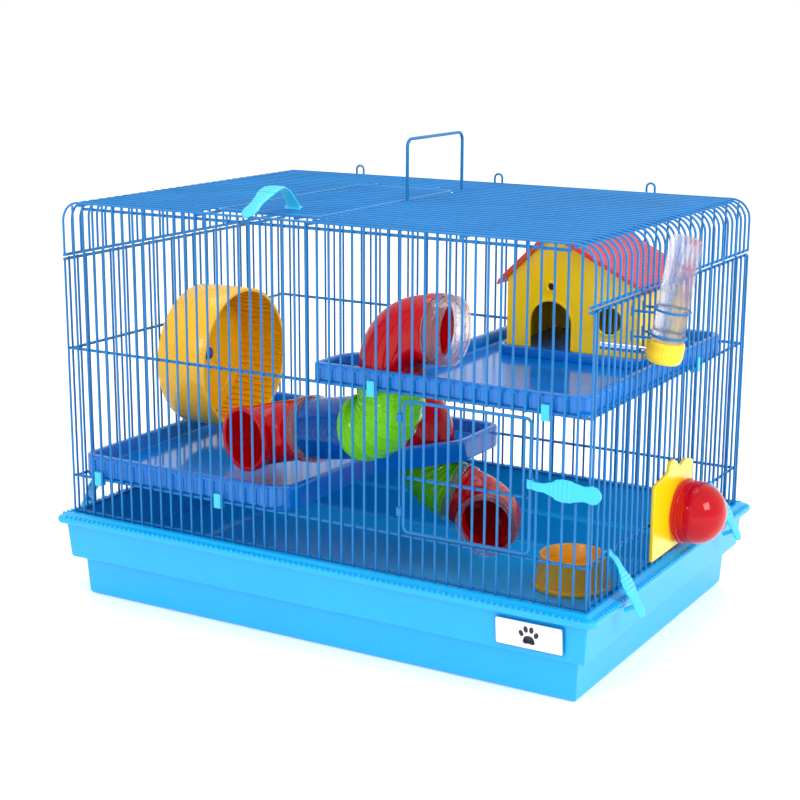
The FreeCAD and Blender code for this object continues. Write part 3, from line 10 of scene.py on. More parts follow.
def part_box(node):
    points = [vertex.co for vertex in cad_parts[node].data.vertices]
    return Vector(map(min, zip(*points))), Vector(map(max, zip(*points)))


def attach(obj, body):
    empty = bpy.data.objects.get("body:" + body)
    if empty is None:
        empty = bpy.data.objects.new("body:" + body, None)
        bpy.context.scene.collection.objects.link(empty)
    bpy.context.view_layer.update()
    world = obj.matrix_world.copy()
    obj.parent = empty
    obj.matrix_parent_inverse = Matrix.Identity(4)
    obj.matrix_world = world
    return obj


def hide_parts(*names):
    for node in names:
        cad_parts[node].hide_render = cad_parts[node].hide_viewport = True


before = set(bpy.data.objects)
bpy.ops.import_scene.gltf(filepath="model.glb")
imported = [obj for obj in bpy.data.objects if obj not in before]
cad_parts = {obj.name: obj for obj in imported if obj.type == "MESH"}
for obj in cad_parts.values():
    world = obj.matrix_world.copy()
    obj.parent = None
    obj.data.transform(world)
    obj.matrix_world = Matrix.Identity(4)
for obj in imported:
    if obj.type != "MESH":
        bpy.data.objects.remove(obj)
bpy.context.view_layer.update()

MM = 0.001
TAU = 2 * math.pi


# ------------------------------------------------------------------ frame helpers
def corners(node):
    """Lowest and highest corner of a CAD node, in millimetres."""
    low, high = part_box(node)
    return Vector(low) / MM, Vector(high) / MM


# ------------------------------------------------------------------ materials
def linear(value):
    """sRGB 0..255 to linear 0..1."""
    c = value / 255
    return c / 12.92 if c <= 0.04045 else ((c + 0.055) / 1.055) ** 2.4


def rgb(r, g, b):
    return (linear(r), linear(g), linear(b), 1)


def plastic(name, colour, roughness=0.3, grain=0.02, grain_size=900, mottle=0.06, coat=0.0,
            transmission=0.0, ior=1.49, subsurface=0.0, metallic=0.0, shine=0.5, streak=None):
    """Moulded plastic or lacquered metal: uneven colour, uneven gloss and a fine grain."""
    mat = bpy.data.materials.new(name)
    mat.use_nodes = True
    nodes, links = mat.node_tree.nodes, mat.node_tree.links
    shader = nodes["Principled BSDF"]
    shader.inputs["Metallic"].default_value = metallic
    shader.inputs["IOR"].default_value = ior
    shader.inputs["Specular IOR Level"].default_value = shine
    shader.inputs["Coat Weight"].default_value = coat
    shader.inputs["Coat Roughness"].default_value = 0.08
    shader.inputs["Transmission Weight"].default_value = transmission
    shader.inputs["Subsurface Weight"].default_value = subsurface
    shader.inputs["Subsurface Radius"].default_value = (0.004, 0.004, 0.004)
    place = nodes.new("ShaderNodeTexCoord")
    cloud = nodes.new("ShaderNodeTexNoise")
    cloud.inputs["Scale"].default_value = 14
    cloud.inputs["Detail"].default_value = 4
    links.new(place.outputs["Object"], cloud.inputs["Vector"])
    if streak:
        stretch = nodes.new("ShaderNodeMapping")
        stretch.inputs["Scale"].default_value = streak
        links.new(place.outputs["Object"], stretch.inputs["Vector"])
        links.new(stretch.outputs["Vector"], cloud.inputs["Vector"])
    tint = nodes.new("ShaderNodeValToRGB")
    base = Vector(colour[:3])
    tint.color_ramp.elements[0].position = 0.3
    tint.color_ramp.elements[0].color = (*(base * (1 - mottle)), 1)
    tint.color_ramp.elements[1].position = 0.7
    tint.color_ramp.elements[1].color = (*[min(1, c * (1 + mottle)) for c in base], 1)
    links.new(cloud.outputs["Fac"], tint.inputs["Fac"])
    links.new(tint.outputs["Color"], shader.inputs["Base Color"])
    gloss = nodes.new("ShaderNodeMapRange")
    gloss.inputs["To Min"].default_value = max(0.03, roughness - 0.06)
    gloss.inputs["To Max"].default_value = roughness + 0.06
    links.new(cloud.outputs["Fac"], gloss.inputs["Value"])
    links.new(gloss.outputs["Result"], shader.inputs["Roughness"])
    speck = nodes.new("ShaderNodeTexNoise")
    speck.inputs["Scale"].default_value = grain_size
    speck.inputs["Detail"].default_value = 2
    links.new(place.outputs["Object"], speck.inputs["Vector"])
    bump = nodes.new("ShaderNodeBump")
    bump.inputs["Strength"].default_value = grain
    bump.inputs["Distance"].default_value = 0.0004
    links.new(speck.outputs["Fac"], bump.inputs["Height"])
    links.new(bump.outputs["Normal"], shader.inputs["Normal"])
    return mat


def clear_plastic(name, colour, roughness, transmission, alpha):
    """Thin see-through moulding: mostly passes light, with tinted body colour."""
    mat = plastic(name, colour, roughness, grain=0.015, grain_size=500, mottle=0.1,
                  transmission=transmission, ior=1.25, coat=0.25)
    mat.node_tree.nodes["Principled BSDF"].inputs["Alpha"].default_value = alpha
    return mat


TRAY = plastic("tray_plastic", rgb(0, 172, 236), 0.36, 0.05, 1400, 0.03, coat=0.12, subsurface=0.04)
WIRE = plastic("powder_coat", rgb(0, 112, 178), 0.3, 0.12, 2600, 0.10, coat=0.15, shine=0.35)
# Same powder coat as the walls, painted lighter for the top panel and top door: painted light where the
# lamps light the top more.
ROOF_WIRE_PAINTED_LIGHT = plastic("powder_coat_roof_painted_light", rgb(0, 120, 190), 0.3, 0.12, 2600, 0.10, coat=0.1, shine=0.35)
DECK = plastic("deck_plastic", rgb(0, 116, 208), 0.13, 0.015, 700, 0.05, coat=0.2, shine=0.45)
CLIP = plastic("clip_plastic", rgb(40, 196, 236), 0.3, 0.03, 1500, 0.04, coat=0.3, subsurface=0.06)
YELLOW = plastic("yellow_plastic", rgb(255, 208, 0), 0.24, 0.015, 800, 0.03, coat=0.4, subsurface=0.06)
GOLD = plastic("wheel_plastic", rgb(250, 190, 0), 0.28, 0.02, 800, 0.05, coat=0.35, subsurface=0.06)
ROOF_RED = plastic("roof_plastic", rgb(218, 18, 30), 0.25, 0.03, 900, 0.06, coat=0.5)
RED_SOLID = plastic("red_collar", rgb(236, 6, 6), 0.2, 0.01, 700, 0.04, coat=0.6)
RED = clear_plastic("red_clear", rgb(214, 0, 16), 0.06, 0.3, 1.0)
DOME = clear_plastic("red_dome", rgb(222, 0, 28), 0.05, 0.45, 1.0)
GREEN = clear_plastic("green_clear", rgb(132, 236, 0), 0.08, 0.4, 1.0)
BLUE = clear_plastic("blue_clear", rgb(0, 104, 205), 0.1, 0.55, 0.9)
CLEAR = clear_plastic("clear_ring", rgb(240, 222, 228), 0.06, 0.85, 0.6)
BOTTLE = clear_plastic("bottle_clear", rgb(244, 240, 246), 0.04, 0.92, 0.34)
WATER = clear_plastic("water", rgb(236, 242, 250), 0.03, 0.95, 0.35)
BOWL = plastic("bowl_plastic", rgb(255, 176, 0), 0.24, 0.015, 800, 0.03, coat=0.3, subsurface=0.06)
PIN = plastic("pin_blue", rgb(4, 40, 150), 0.25, 0.02, 900, 0.05, coat=0.4)
STEEL = plastic("spout_steel", rgb(205, 208, 214), 0.16, 0.02, 1200, 0.05, metallic=1.0,
                streak=(1, 40, 40))
PAPER = plastic("label_paper", rgb(245, 245, 245), 0.5, 0.04, 1800, 0.01)
INK = plastic("label_ink", rgb(28, 24, 44), 0.45, 0.03, 1800, 0.05)
EDGE = plastic("label_edge", rgb(0, 120, 190), 0.45, 0.03, 1800, 0.05)


# ------------------------------------------------------------------ mesh helpers
def make(name, verts, faces, material, body, node=None, slot=None, bevel=0.0, sharp=38, merge=True):
    """Mesh object from millimetre points, riding on a body."""
    mesh = bpy.data.meshes.new(name)
    mesh.from_pydata([Vector(v) * MM for v in verts], [], faces)
    work = bmesh.new()
    work.from_mesh(mesh)
    if merge:
        bmesh.ops.remove_doubles(work, verts=work.verts, dist=1e-6)
    bmesh.ops.recalc_face_normals(work, faces=work.faces)
    work.to_mesh(mesh)
    work.free()
    return finish(name, mesh, material, body, node, bevel, sharp)


def finish(name, mesh, material, body, node, bevel, sharp):
    """Object from a mesh with its shading, bevel, material and body."""
    mesh.materials.clear()
    mesh.materials.append(material)
    mesh.polygons.foreach_set("use_smooth", [True] * len(mesh.polygons))
    mesh.set_sharp_from_angle(angle=math.radians(sharp))
    piece = bpy.data.objects.new(name, mesh)
    bpy.context.scene.collection.objects.link(piece)
    if bevel:
        round_off = piece.modifiers.new("round", "BEVEL")
        round_off.width = bevel * MM
        round_off.segments = 3
        round_off.limit_method = "ANGLE"
        round_off.angle_limit = math.radians(35)
        round_off.harden_normals = True
    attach(piece, body)
    if node:
        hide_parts(*([node] if isinstance(node, str) else node))
    return piece


def even(piece):
    """Shade the flats flat and keep the turn of the light in the roundings."""
    weigh = piece.modifiers.new("even", "WEIGHTED_NORMAL")
    weigh.keep_sharp = True
    return piece


def softened(node, material, body, bevel):
    """The node's own shape with its hard edges rounded."""
    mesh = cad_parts[node].data.copy()
    work = bmesh.new()
    work.from_mesh(mesh)
    bmesh.ops.remove_doubles(work, verts=work.verts, dist=1e-6)
    bmesh.ops.dissolve_limit(work, angle_limit=math.radians(1.5), verts=work.verts, edges=work.edges)
    work.to_mesh(mesh)
    work.free()
    return finish(node + "_soft", mesh, material, body, node, bevel, 30)


def loft(rings, round_trip=False, caps=True):
    """Skin over rings of equal length; the last ring may join the first."""
    count = len(rings[0])
    verts = [p for ring in rings for p in ring]
    faces = []
    spans = len(rings) if round_trip else len(rings) - 1
    for i in range(spans):
        a = i * count
        b = ((i + 1) % len(rings)) * count
        for k in range(count):
            n = (k + 1) % count
            faces.append((a + k, a + n, b + n, b + k))
    if caps and not round_trip:
        faces.append(tuple(range(count))[::-1])
        faces.append(tuple(range(len(verts) - count, len(verts))))
    return verts, faces


def joined(*parts):
    """Several (verts, faces) as one."""
    verts, faces = [], []
    for more_verts, more_faces in parts:
        start = len(verts)
        verts += list(more_verts)
        faces += [tuple(i + start for i in face) for face in more_faces]
    return verts, faces


def moved(part, matrix):
    verts, faces = part
    return [matrix @ Vector(v) for v in verts], faces


def lathe(profile, segments=72, closed=True, flutes=0, depth=0.0, fluted=()):
    """Turn (radius, height) points about Z; the profile closes on itself."""
    rings = []
    for index, (radius, height) in enumerate(profile):
        ring = []
        for k in range(segments):
            angle = TAU * k / segments
            wave = depth * (0.5 + 0.5 * math.cos(flutes * angle)) if index in fluted else 0
            r = max(radius - wave, 0)
            ring.append((r * math.cos(angle), r * math.sin(angle), height))
        rings.append(ring)
    return loft(rings, round_trip=closed, caps=False)


def arc_points(centre, radius, start, end, steps):
    """Points on an arc of a profile, angles in degrees."""
    return [(centre[0] + radius * math.cos(math.radians(start + (end - start) * i / steps)),
             centre[1] + radius * math.sin(math.radians(start + (end - start) * i / steps)))
            for i in range(steps + 1)]


def aim(way, point=(0, 0, 0), side=None):
    """Matrix that carries +Z onto a direction, and +X towards a side."""
    z = Vector(way).normalized()
    x = Vector(side) if side is not None else z.orthogonal()
    x = (x - z * x.dot(z)).normalized()
    y = z.cross(x)
    turn = Matrix((x, y, z)).transposed().to_4x4()
    return Matrix.Translation(Vector(point)) @ turn


def block(low, high):
    """Plain box to be bevelled or joined to a larger piece."""
    (x0, y0, z0), (x1, y1, z1) = low, high
    return loft([[(x0, y0, z0), (x1, y0, z0), (x1, y1, z0), (x0, y1, z0)],
                 [(x0, y0, z1), (x1, y0, z1), (x1, y1, z1), (x0, y1, z1)]])


def outline(shape, radii, inset=0.0, step=1.4, arc_steps=7):
    """Outline with rounded corners, moved inwards by an inset.

    The corners run anticlockwise. Returns (point, outward normal, distance along the edge) triples.
    Every inset gives the same number of points.
    """
    count = len(shape)
    pts = [Vector(p) for p in shape]
    ways = [(pts[(i + 1) % count] - pts[i]).normalized() for i in range(count)]
    outs = [Vector((w.y, -w.x)) for w in ways]
    turned = []
    for i in range(count):
        before, after = outs[i - 1], outs[i]
        cosine = before.dot(after)
        corner = pts[i] - (before + after) * inset / (1 + cosine)
        convex = ways[i - 1].cross(ways[i]) > 0
        radius = max(radii[i] - inset, 0.2) if convex else radii[i] + inset
        half = math.acos(max(-1, min(1, cosine))) / 2
        back = radius * math.tan(half)
        sign = 1 if convex else -1
        centre = corner - ways[i - 1] * back - before * radius * sign
        turned.append((corner, centre, radius, before, after, back, sign))
    result = []
    travelled = 0.0
    for i in range(count):
        corner, centre, radius, before, after, back, sign = turned[i]
        start = math.atan2(before.y, before.x)
        swing = math.atan2(before.cross(after), before.dot(after))
        for k in range(arc_steps + 1):
            angle = start + swing * k / arc_steps
            normal = Vector((math.cos(angle), math.sin(angle)))
            result.append((centre + normal * radius * sign, normal, travelled))
        here = corner + ways[i] * back
        there = turned[(i + 1) % count][0] - ways[i] * turned[(i + 1) % count][5]
        plain = (pts[(i + 1) % count] - pts[i]).length
        steps = max(2, round(plain / step))
        for k in range(1, steps):
            result.append((here.lerp(there, k / steps), outs[i], travelled + plain * k / steps))
        travelled += plain
    return result


def lathe_outline(shape, radii, profile, step=1.4, wave=None):
    """Carry a profile of (inset, height, wave share) round an outline; one ring per profile point."""
    rings = []
    for inset, height, share in profile:
        ring = []
        for point, normal, along in outline(shape, radii, inset, step):
            push = wave(along, point) * share if wave and share else 0
            ring.append((point.x - normal.x * push, point.y - normal.y * push, height))
        rings.append(ring)
    return rings


def filled(ring, hole=()):
    """Flat level face inside a ring, with one round hole left open."""
    rim = len(ring)
    points = [Vector(p[:2]) for p in (*ring, *hole)]
    edges = [(i, (i + 1) % rim) for i in range(rim)]
    edges += [(rim + i, rim + (i + 1) % len(hole)) for i in range(len(hole))]
    verts, _, faces, sources, _, _ = delaunay_2d_cdt(points, edges, [], 1, 1e-5)
    in_hole = [min(source) >= rim for source in sources]
    return ([Vector((v.x, v.y, ring[0][2])) for v in verts],
            [tuple(face) for face in faces if not all(in_hole[i] for i in face)])


def rectangle(half_x, half_y, centre=(0, 0)):
    cx, cy = centre
    return [(cx - half_x, cy - half_y), (cx + half_x, cy - half_y),
            (cx + half_x, cy + half_y), (cx - half_x, cy + half_y)]


def circle(centre, radius, height, steps=72):
    return [(centre[0] + radius * math.cos(TAU * k / steps),
             centre[1] + radius * math.sin(TAU * k / steps), height) for k in range(steps)]


# ------------------------------------------------------------------ camera, light and floor
def camera():
    """Long lens a little above the roof, to the right of the front."""
    place = Vector((0.7311, -1.2692, 0.5268))
    azimuth, elevation, roll = (math.radians(a) for a in (30.269, 13.424, 0.239))
    ahead = Vector((-math.sin(azimuth) * math.cos(elevation),
                    math.cos(azimuth) * math.cos(elevation), -math.sin(elevation)))
    level = Vector((math.cos(azimuth), math.sin(azimuth), 0))
    above = level.cross(ahead)
    right = level * math.cos(roll) + above * math.sin(roll)
    up = above * math.cos(roll) - level * math.sin(roll)
    data = bpy.data.cameras.new("camera")
    data.lens = 75.69
    data.sensor_width = 36
    data.clip_end = 20
    view = bpy.data.objects.new("camera", data)
    view.matrix_world = Matrix.Translation(place) @ Matrix((right, up, -ahead)).transposed().to_4x4()
    bpy.context.scene.collection.objects.link(view)
    bpy.context.scene.camera = view


def area_light(name, place, target, size, power, colour=(1, 1, 1)):
    data = bpy.data.lights.new(name, "AREA")
    data.size = size
    data.energy = power
    data.color = colour
    lamp = bpy.data.objects.new(name, data)
    lamp.location = place
    way = Vector(target) - Vector(place)
    lamp.rotation_euler = way.to_track_quat("-Z", "Y").to_euler()
    bpy.context.scene.collection.objects.link(lamp)


def studio():
    """White room, soft key light from the right, fill from the left and above."""
    world = bpy.data.worlds.new("studio")
    world.use_nodes = True
    back = world.node_tree.nodes["Background"]
    back.inputs["Color"].default_value = (1, 1, 1, 1)
    back.inputs["Strength"].default_value = 1.0
    bpy.context.scene.world = world
    bpy.context.scene.view_settings.view_transform = "Standard"
    centre = (0, 0, 0.2)
    area_light("key", (1.7, -0.5, 1.1), centre, 0.7, 16)
    area_light("front", (-0.2, -2.0, 1.2), centre, 0.5, 7)
    area_light("top", (-0.3, 0.4, 1.9), centre, 1.0, 9)
    mesh = bpy.data.meshes.new("floor")
    reach = 6
    mesh.from_pydata([(-reach, -reach, 0), (reach, -reach, 0), (reach, reach, 0), (-reach, reach, 0)],
                     [], [(0, 1, 2, 3)])
    floor = bpy.data.objects.new("floor", mesh)
    floor.location.z = -0.0005
    mat = bpy.data.materials.new("floor_white")
    mat.use_nodes = True
    shader = mat.node_tree.nodes["Principled BSDF"]
    shader.inputs["Base Color"].default_value = (0.94, 0.94, 0.94, 1)
    shader.inputs["Roughness"].default_value = 0.9
    shader.inputs["Emission Color"].default_value = (1, 1, 1, 1)
    shader.inputs["Emission Strength"].default_value = 0.22
    mesh.materials.append(mat)
    bpy.context.scene.collection.objects.link(floor)


# ------------------------------------------------------------------ tray
def tray():
    """Deep tray: stepped walls, flanged rim with a row of small ribs, seat for the wire body."""
    low, high = corners("base_tray")
    rim_x, rim_y, top = high.x, high.y, high.z
    shape = rectangle(rim_x, rim_y)
    radii = [9] * 4
    knee = 35.3
    lip = top - 8.5
    profile = [
        (24.8, 0, 0), (22.8, 0.2, 0), (21.6, 1.4, 0), (21.1, 3.4, 0), (19.6, knee - 2.4, 0),
        (19.4, knee - 1.0, 0), (21.4, knee - 0.7, 0), (21.4, knee + 0.4, 0), (12.6, knee + 0.4, 0),
        (11.2, knee + 0.8, 0),
        (10.4, knee + 2.4, 0), (8.0, lip - 2.2, 0), (7.6, lip - 0.7, 0), (6.6, lip, 0), (1.4, lip, 0),
        (0.4, lip + 0.3, 0), (0.0, lip + 1.2, 0), (0.0, lip + 3.6, 0), (0.3, lip + 4.6, 0),
        (1.0, lip + 5.2, 0), (2.0, lip + 5.5, 0), (5.0, lip + 6.3, 0), (6.0, top - 1.6, 0),
        (8.2, top - 0.5, 0), (8.8, top - 0.1, 0), (9.3, top - 0.2, 0), (9.45, top - 1.0, 0),
        (14.8, top - 1.0, 0), (15.4, top - 1.8, 0), (16.4, knee + 5.0, 0), (17.0, knee + 3.4, 0),
        (18.2, knee + 3.0, 0), (23.8, knee + 3.0, 0), (25.0, knee + 2.2, 0), (26.2, 12.0, 0),
        (27.8, 8.6, 0), (30.8, 7.5, 0)]
    rings = lathe_outline(shape, radii, profile, step=12)
    shell = loft(rings, caps=False)
    parts = [shell, filled(rings[0]), filled(rings[-1])]
    rib_pitch = 5.2
    half_x = rim_x - 12
    half_y = rim_y - 12
    for half, fixed, along_x in ((half_x, rim_y, True), (half_y, rim_x, False)):
        count = int(2 * half / rib_pitch)
        for side in (-1, 1):
            for k in range(count + 1):
                at = -half + k * 2 * half / count
                outer, inner = side * (fixed - 0.7), side * (fixed - 5.4)
                near, far = min(outer, inner), max(outer, inner)
                height = top - 1.9
                if along_x:
                    rib = block((at - 0.9, near, lip + 4.2), (at + 0.9, far, height))
                else:
                    rib = block((near, at - 0.9, lip + 4.2), (far, at + 0.9, height))
                parts.append(rib)
    verts, faces = joined(*parts)
    even(make("tray_shell", verts, faces, TRAY, "tray", "base_tray", "tray_cyan", sharp=50, merge=False))


def label():
    """Blank white sticker with a dark edge and a plain paw print."""
    low, high = corners("label_plate")
    width = high.x - low.x
    height = 23
    lean = math.atan2(high.y - low.y - 0.5, height)
    matrix = Matrix.Translation((low.x + width / 2, (low.y + high.y) / 2, (low.z + high.z) / 2))
    matrix = matrix @ Matrix.Rotation(math.radians(90) + lean, 4, "X")

    def plate(half_x, half_y, z0, z1):
        ring = [p for p, _, _ in outline(rectangle(half_x, half_y), [1.5] * 4, 0, 20, 5)]
        return loft([[(p.x, p.y, z0) for p in ring], [(p.x, p.y, z1) for p in ring]])

    def pad(x, y, rx, ry, turn=0.0):
        ring = []
        for k in range(28):
            a = TAU * k / 28
            px, py = rx * math.cos(a), ry * math.sin(a)
            ring.append((x + px * math.cos(turn) - py * math.sin(turn),
                         y + px * math.sin(turn) + py * math.cos(turn)))
        return loft([[(px, py, 0.1) for px, py in ring], [(px, py, 0.34) for px, py in ring]])

    white = moved(plate(width / 2 - 0.7, height / 2 - 0.7, -0.25, 0.27), matrix)
    make("label_sheet", *white, PAPER, "tray", "label_plate", "label_white", bevel=0.08)
    dark = moved(plate(width / 2, height / 2, -0.25, 0.2), matrix)
    make("label_border", *dark, EDGE, "tray", slot="label_white", bevel=0.08)
    toes = [pad(-6.4, 1.2, 1.9, 2.7, 0.45), pad(-2.4, 5.0, 1.9, 2.8, 0.12),
            pad(2.4, 5.0, 1.9, 2.8, -0.12), pad(6.4, 1.2, 1.9, 2.7, -0.45)]
    sole = [pad(0, -3.4, 4.6, 3.4), pad(-2.8, -5.0, 2.4, 2.2), pad(2.8, -5.0, 2.4, 2.2)]
    for index, part in enumerate(toes + sole):
        make(f"label_paw_{index}", *moved(part, matrix), INK, "tray", slot="label_white", bevel=0.08)


# ------------------------------------------------------------------ platforms
# Radii and lengths of the tubes.
COLLAR = 28.3
TUBE = 26.5
BORE = 24.7
BEND = 34.0
COLLAR_LENGTH = 8.0
COUPLER_LENGTH = 8.0
# The upper hole is near the lip: a skin opening as wide as the bore would cross the floor's outline.
UPPER_OPENING = 21.2


def deck(node, shape, radii, hole, ribbed):
    """Glossy platform: grooved skirt, rounded lip, sloped inner wall with small teeth."""
    low, high = corners(node)
    bottom, lip = low.z, high.z
    floor = bottom + (7.5 if node == "lower_platform" else 6.0)
    pitch = 10.87

    def groove(along, point):
        """Grooves of the skirt lie behind the wires; the free edge is plain."""
        if not ribbed(point):
            return 0
        if abs(point.y) > 150:
            phase = (point.x + 250) % pitch
        else:
            phase = (point.y + 166) % pitch
        return 0.9 if phase < 1.5 else 0

    def teeth(along, point):
        return 0.9 * (0.5 + 0.5 * math.cos(along * TAU / 5.4))

    outer = [(8.0, floor - 2.5, 0), (3.0, floor - 2.5, 0), (2.4, floor - 3.2, 0), (2.2, bottom + 0.6, 0),
             (1.4, bottom, 0), (0.6, bottom + 0.1, 0), (0.1, bottom + 0.7, 0), (0.0, bottom + 1.6, 1),
             (0.0, lip - 4.2, 1), (0.0, lip - 3.2, 0), (0.1, lip - 1.4, 0), (0.6, lip - 0.5, 0),
             (1.6, lip, 0), (4.6, lip, 0), (5.6, lip - 0.4, 0), (6.1, lip - 1.2, 0)]
    inner = [(6.2, lip - 2.0, 1), (7.6, floor + 2.4, 1), (8.0, floor + 1.4, 0), (8.8, floor + 0.4, 0),
             (10.0, floor, 0)]
    rings = lathe_outline(shape, radii, outer, wave=groove)
    rings += lathe_outline(shape, radii, inner, wave=teeth)
    opening = BORE if node == "lower_platform" else UPPER_OPENING
    top_hole = circle(hole, opening, floor)
    low_hole = circle(hole, opening, floor - 2.5)
    wall = loft([low_hole, top_hole], caps=False)
    parts = [loft(rings, caps=False), filled(rings[-1], top_hole), filled(rings[0], low_hole), wall]
    even(make(node + "_shell", *joined(*parts), DECK, "cage", node, "deck_blue", sharp=42))


def platforms():
    low, high = corners("lower_platform")
    front, back = low.y, high.y
    hole = tube_holes()[1]
    shape = [(low.x, front), (-23, front), (-23, -25), (high.x, 55), (high.x, back), (low.x, back)]
    deck("lower_platform", shape, [14, 22, 22, 22, 14, 14], hole,
         lambda p: p.y < front + 1 or p.x < low.x + 1)
    low, high = corners("upper_platform")
    front, back = low.y, high.y
    hole = tube_holes()[0]
    shape = [(low.x, front), (high.x, front), (high.x, back), (64, back), (64, -98), (low.x, -98)]
    deck("upper_platform", shape, [7, 16, 16, 16, 16, 34], hole,
         lambda p: p.y < front + 1 or p.x > high.x - 1)
    for node in ("lower_hooks", "upper_hooks"):
        softened(node, CLIP, "cage", 0.8)


# ------------------------------------------------------------------ tubes
def tube_holes():
    """Centres of the tube holes in the upper and lower platforms."""
    spots = []
    for node, side in (("elbow_upper_top", -1), ("elbow_lower_top", 1)):
        low, high = corners(node)
        x = low.x + COLLAR if side < 0 else high.x - COLLAR
        spots.append((x, (low.y + high.y) / 2))
    return spots


def heading(azimuth, elevation):
    a, e = math.radians(azimuth), math.radians(elevation)
    return Vector((math.cos(a) * math.cos(e), math.sin(a) * math.cos(e), math.sin(e)))


def bent_tube(name, node, start, entry, leaving, first, last, material, slot, ribbed):
    """Hollow elbow with raised collars. The start is where its bend begins. Returns the bend's end."""
    entry = entry.normalized()
    turn = entry.angle(leaving)
    side = (leaving - entry * entry.dot(leaving)).normalized()
    arc = BEND * turn
    total = first + arc + last

    def station(s):
        """Centre, direction and sideways vector at a distance along the tube."""
        if s <= first:
            return start + entry * (s - first), entry, side
        if s >= first + arc:
            way = leaving
            out = side * math.cos(turn) - entry * math.sin(turn)
            return start + entry * BEND * math.sin(turn) + side * BEND * (1 - math.cos(turn)) \
                + way * (s - first - arc), way, out
        a = (s - first) / BEND
        way = entry * math.cos(a) + side * math.sin(a)
        out = side * math.cos(a) - entry * math.sin(a)
        return start + entry * BEND * math.sin(a) + side * BEND * (1 - math.cos(a)), way, out

    def radius(s):
        if s < first or s > total - last:
            return COLLAR
        if not ribbed:
            return TUBE
        phase = (s - first) % 8.6
        return TUBE + 1.3 * math.exp(-((phase - 4.3) / 1.1) ** 2)

    marks = []
    if first > 0:
        marks += [(0, COLLAR - 0.9), (0.3, COLLAR - 0.2), (0.9, COLLAR)]
        marks += [(first - 0.9, COLLAR), (first - 0.2, COLLAR - 0.4), (first + 0.2, TUBE + 0.2)]
    steps = 60
    marks += [(first + 0.8 + (arc - 1.6) * k / steps, None) for k in range(steps + 1)]
    marks += [(total - last - 0.2, TUBE + 0.2), (total - last + 0.2, COLLAR - 0.4),
              (total - last + 0.9, COLLAR), (total - 0.9, COLLAR), (total - 0.3, COLLAR - 0.2),
              (total, COLLAR - 0.9)]
    path = [(s, r if r is not None else radius(s)) for s, r in marks]
    path += [(total, BORE + 0.5), (total - 0.4, BORE)]
    path += [(total - 0.4 - (total - 0.8) * k / 40, BORE) for k in range(1, 40)]
    path += [(0.4, BORE), (0, BORE + 0.5)]
    rings = []
    for s, r in path:
        centre, way, out = station(s)
        across = way.cross(out)
        rings.append([centre + out * r * math.cos(TAU * k / 64) + across * r * math.sin(TAU * k / 64)
                      for k in range(64)])
    make(name, *loft(rings, round_trip=True), material, "cage", node, slot, sharp=60)
    return station(first + arc)[0]


def ring_profile(length, outer):
    """Section of a clear coupler: a hoop with a raised bead at each end."""
    bead = 0.9
    return [(BORE, 0.3), (BORE + 0.4, 0), (outer - 0.4, 0), (outer, 0.4), (outer, 1.6),
            (outer - bead, 2.2), (outer - bead, length - 2.2), (outer, length - 1.6),
            (outer, length - 0.4), (outer - 0.4, length), (BORE + 0.4, length), (BORE, length - 0.3)]


def coupler(name, place, way, outer, node=None):
    part = moved(lathe(ring_profile(COUPLER_LENGTH, outer), 72), aim(way, place))
    make(name, *part, CLEAR, "cage", node, "clear", sharp=35)
    return place + way * COUPLER_LENGTH


def tube_run():
    """The elbows through both platforms, the straight tube and the clear couplers."""
    up, down = Vector((0, 0, 1)), Vector((0, 0, -1))
    (ux, uy), (lx, ly) = tube_holes()
    outer = 29.0
    top = corners("elbow_upper_top")[0].z
    start = Vector((ux, uy, top + COLLAR_LENGTH))
    way = Vector((1, 0, 0))
    end = bent_tube("tube_upper_top", "elbow_upper_top", start, up, way, COLLAR_LENGTH, COLLAR_LENGTH,
                    RED, "red_clear", False)
    end = coupler("ring_upper_a", end + way * COLLAR_LENGTH, way, outer, "clear_couplers")
    coupler("ring_upper_b", end, way, outer - 1.2)
    first = 12
    under = corners("elbow_upper_under")[1].z
    start = Vector((ux, uy, under - first))
    run = heading(164.5, -12)
    end = bent_tube("tube_upper_under", "elbow_upper_under", start, down, run, first, COLLAR_LENGTH,
                    GREEN, "green_clear", True)
    end += run * COLLAR_LENGTH
    length = 57
    link = [(BORE, 0.3), (BORE + 0.4, 0), (TUBE - 0.4, 0), (TUBE, 0.4), (TUBE, length - 0.4),
            (TUBE - 0.4, length), (BORE + 0.4, length), (BORE, length - 0.3)]
    make("tube_link", *moved(lathe(link), aim(run, end)), BLUE, "cage", "link_tube", "blue_clear")
    end = coupler("ring_link", end + run * length, run, outer)
    mouth = heading(260, 0)
    mouth = (mouth - run * mouth.dot(run)).normalized()
    bent_tube("tube_lower_left", "elbow_lower_left", end + run * COLLAR_LENGTH, run, mouth,
              COLLAR_LENGTH, COLLAR_LENGTH, RED, "red_clear", False)
    top = corners("elbow_lower_top")[0].z
    start = Vector((lx, ly, top + COLLAR_LENGTH))
    bent_tube("tube_lower_top", "elbow_lower_top", start, up, Vector((-1, 0, 0)), COLLAR_LENGTH,
              COLLAR_LENGTH, RED, "red_clear", False)
    first, last = 3, 2
    under = corners("elbow_lower_under")[1].z
    run = heading(10, -16)
    end = bent_tube("tube_lower_under", "elbow_lower_under", Vector((lx, ly, under - first)), down, run,
                    first, last, GREEN, "green_clear", True)
    end = coupler("ring_floor", end + run * last, run, outer)
    mouth = heading(274, 0)
    mouth = (mouth - run * mouth.dot(run)).normalized()
    end = bent_tube("tube_floor", "elbow_floor", end + run * COLLAR_LENGTH, run, mouth, COLLAR_LENGTH,
                    COLLAR_LENGTH, RED, "red_clear", False)
    coupler("ring_mouth", end + mouth * COLLAR_LENGTH, mouth, outer)


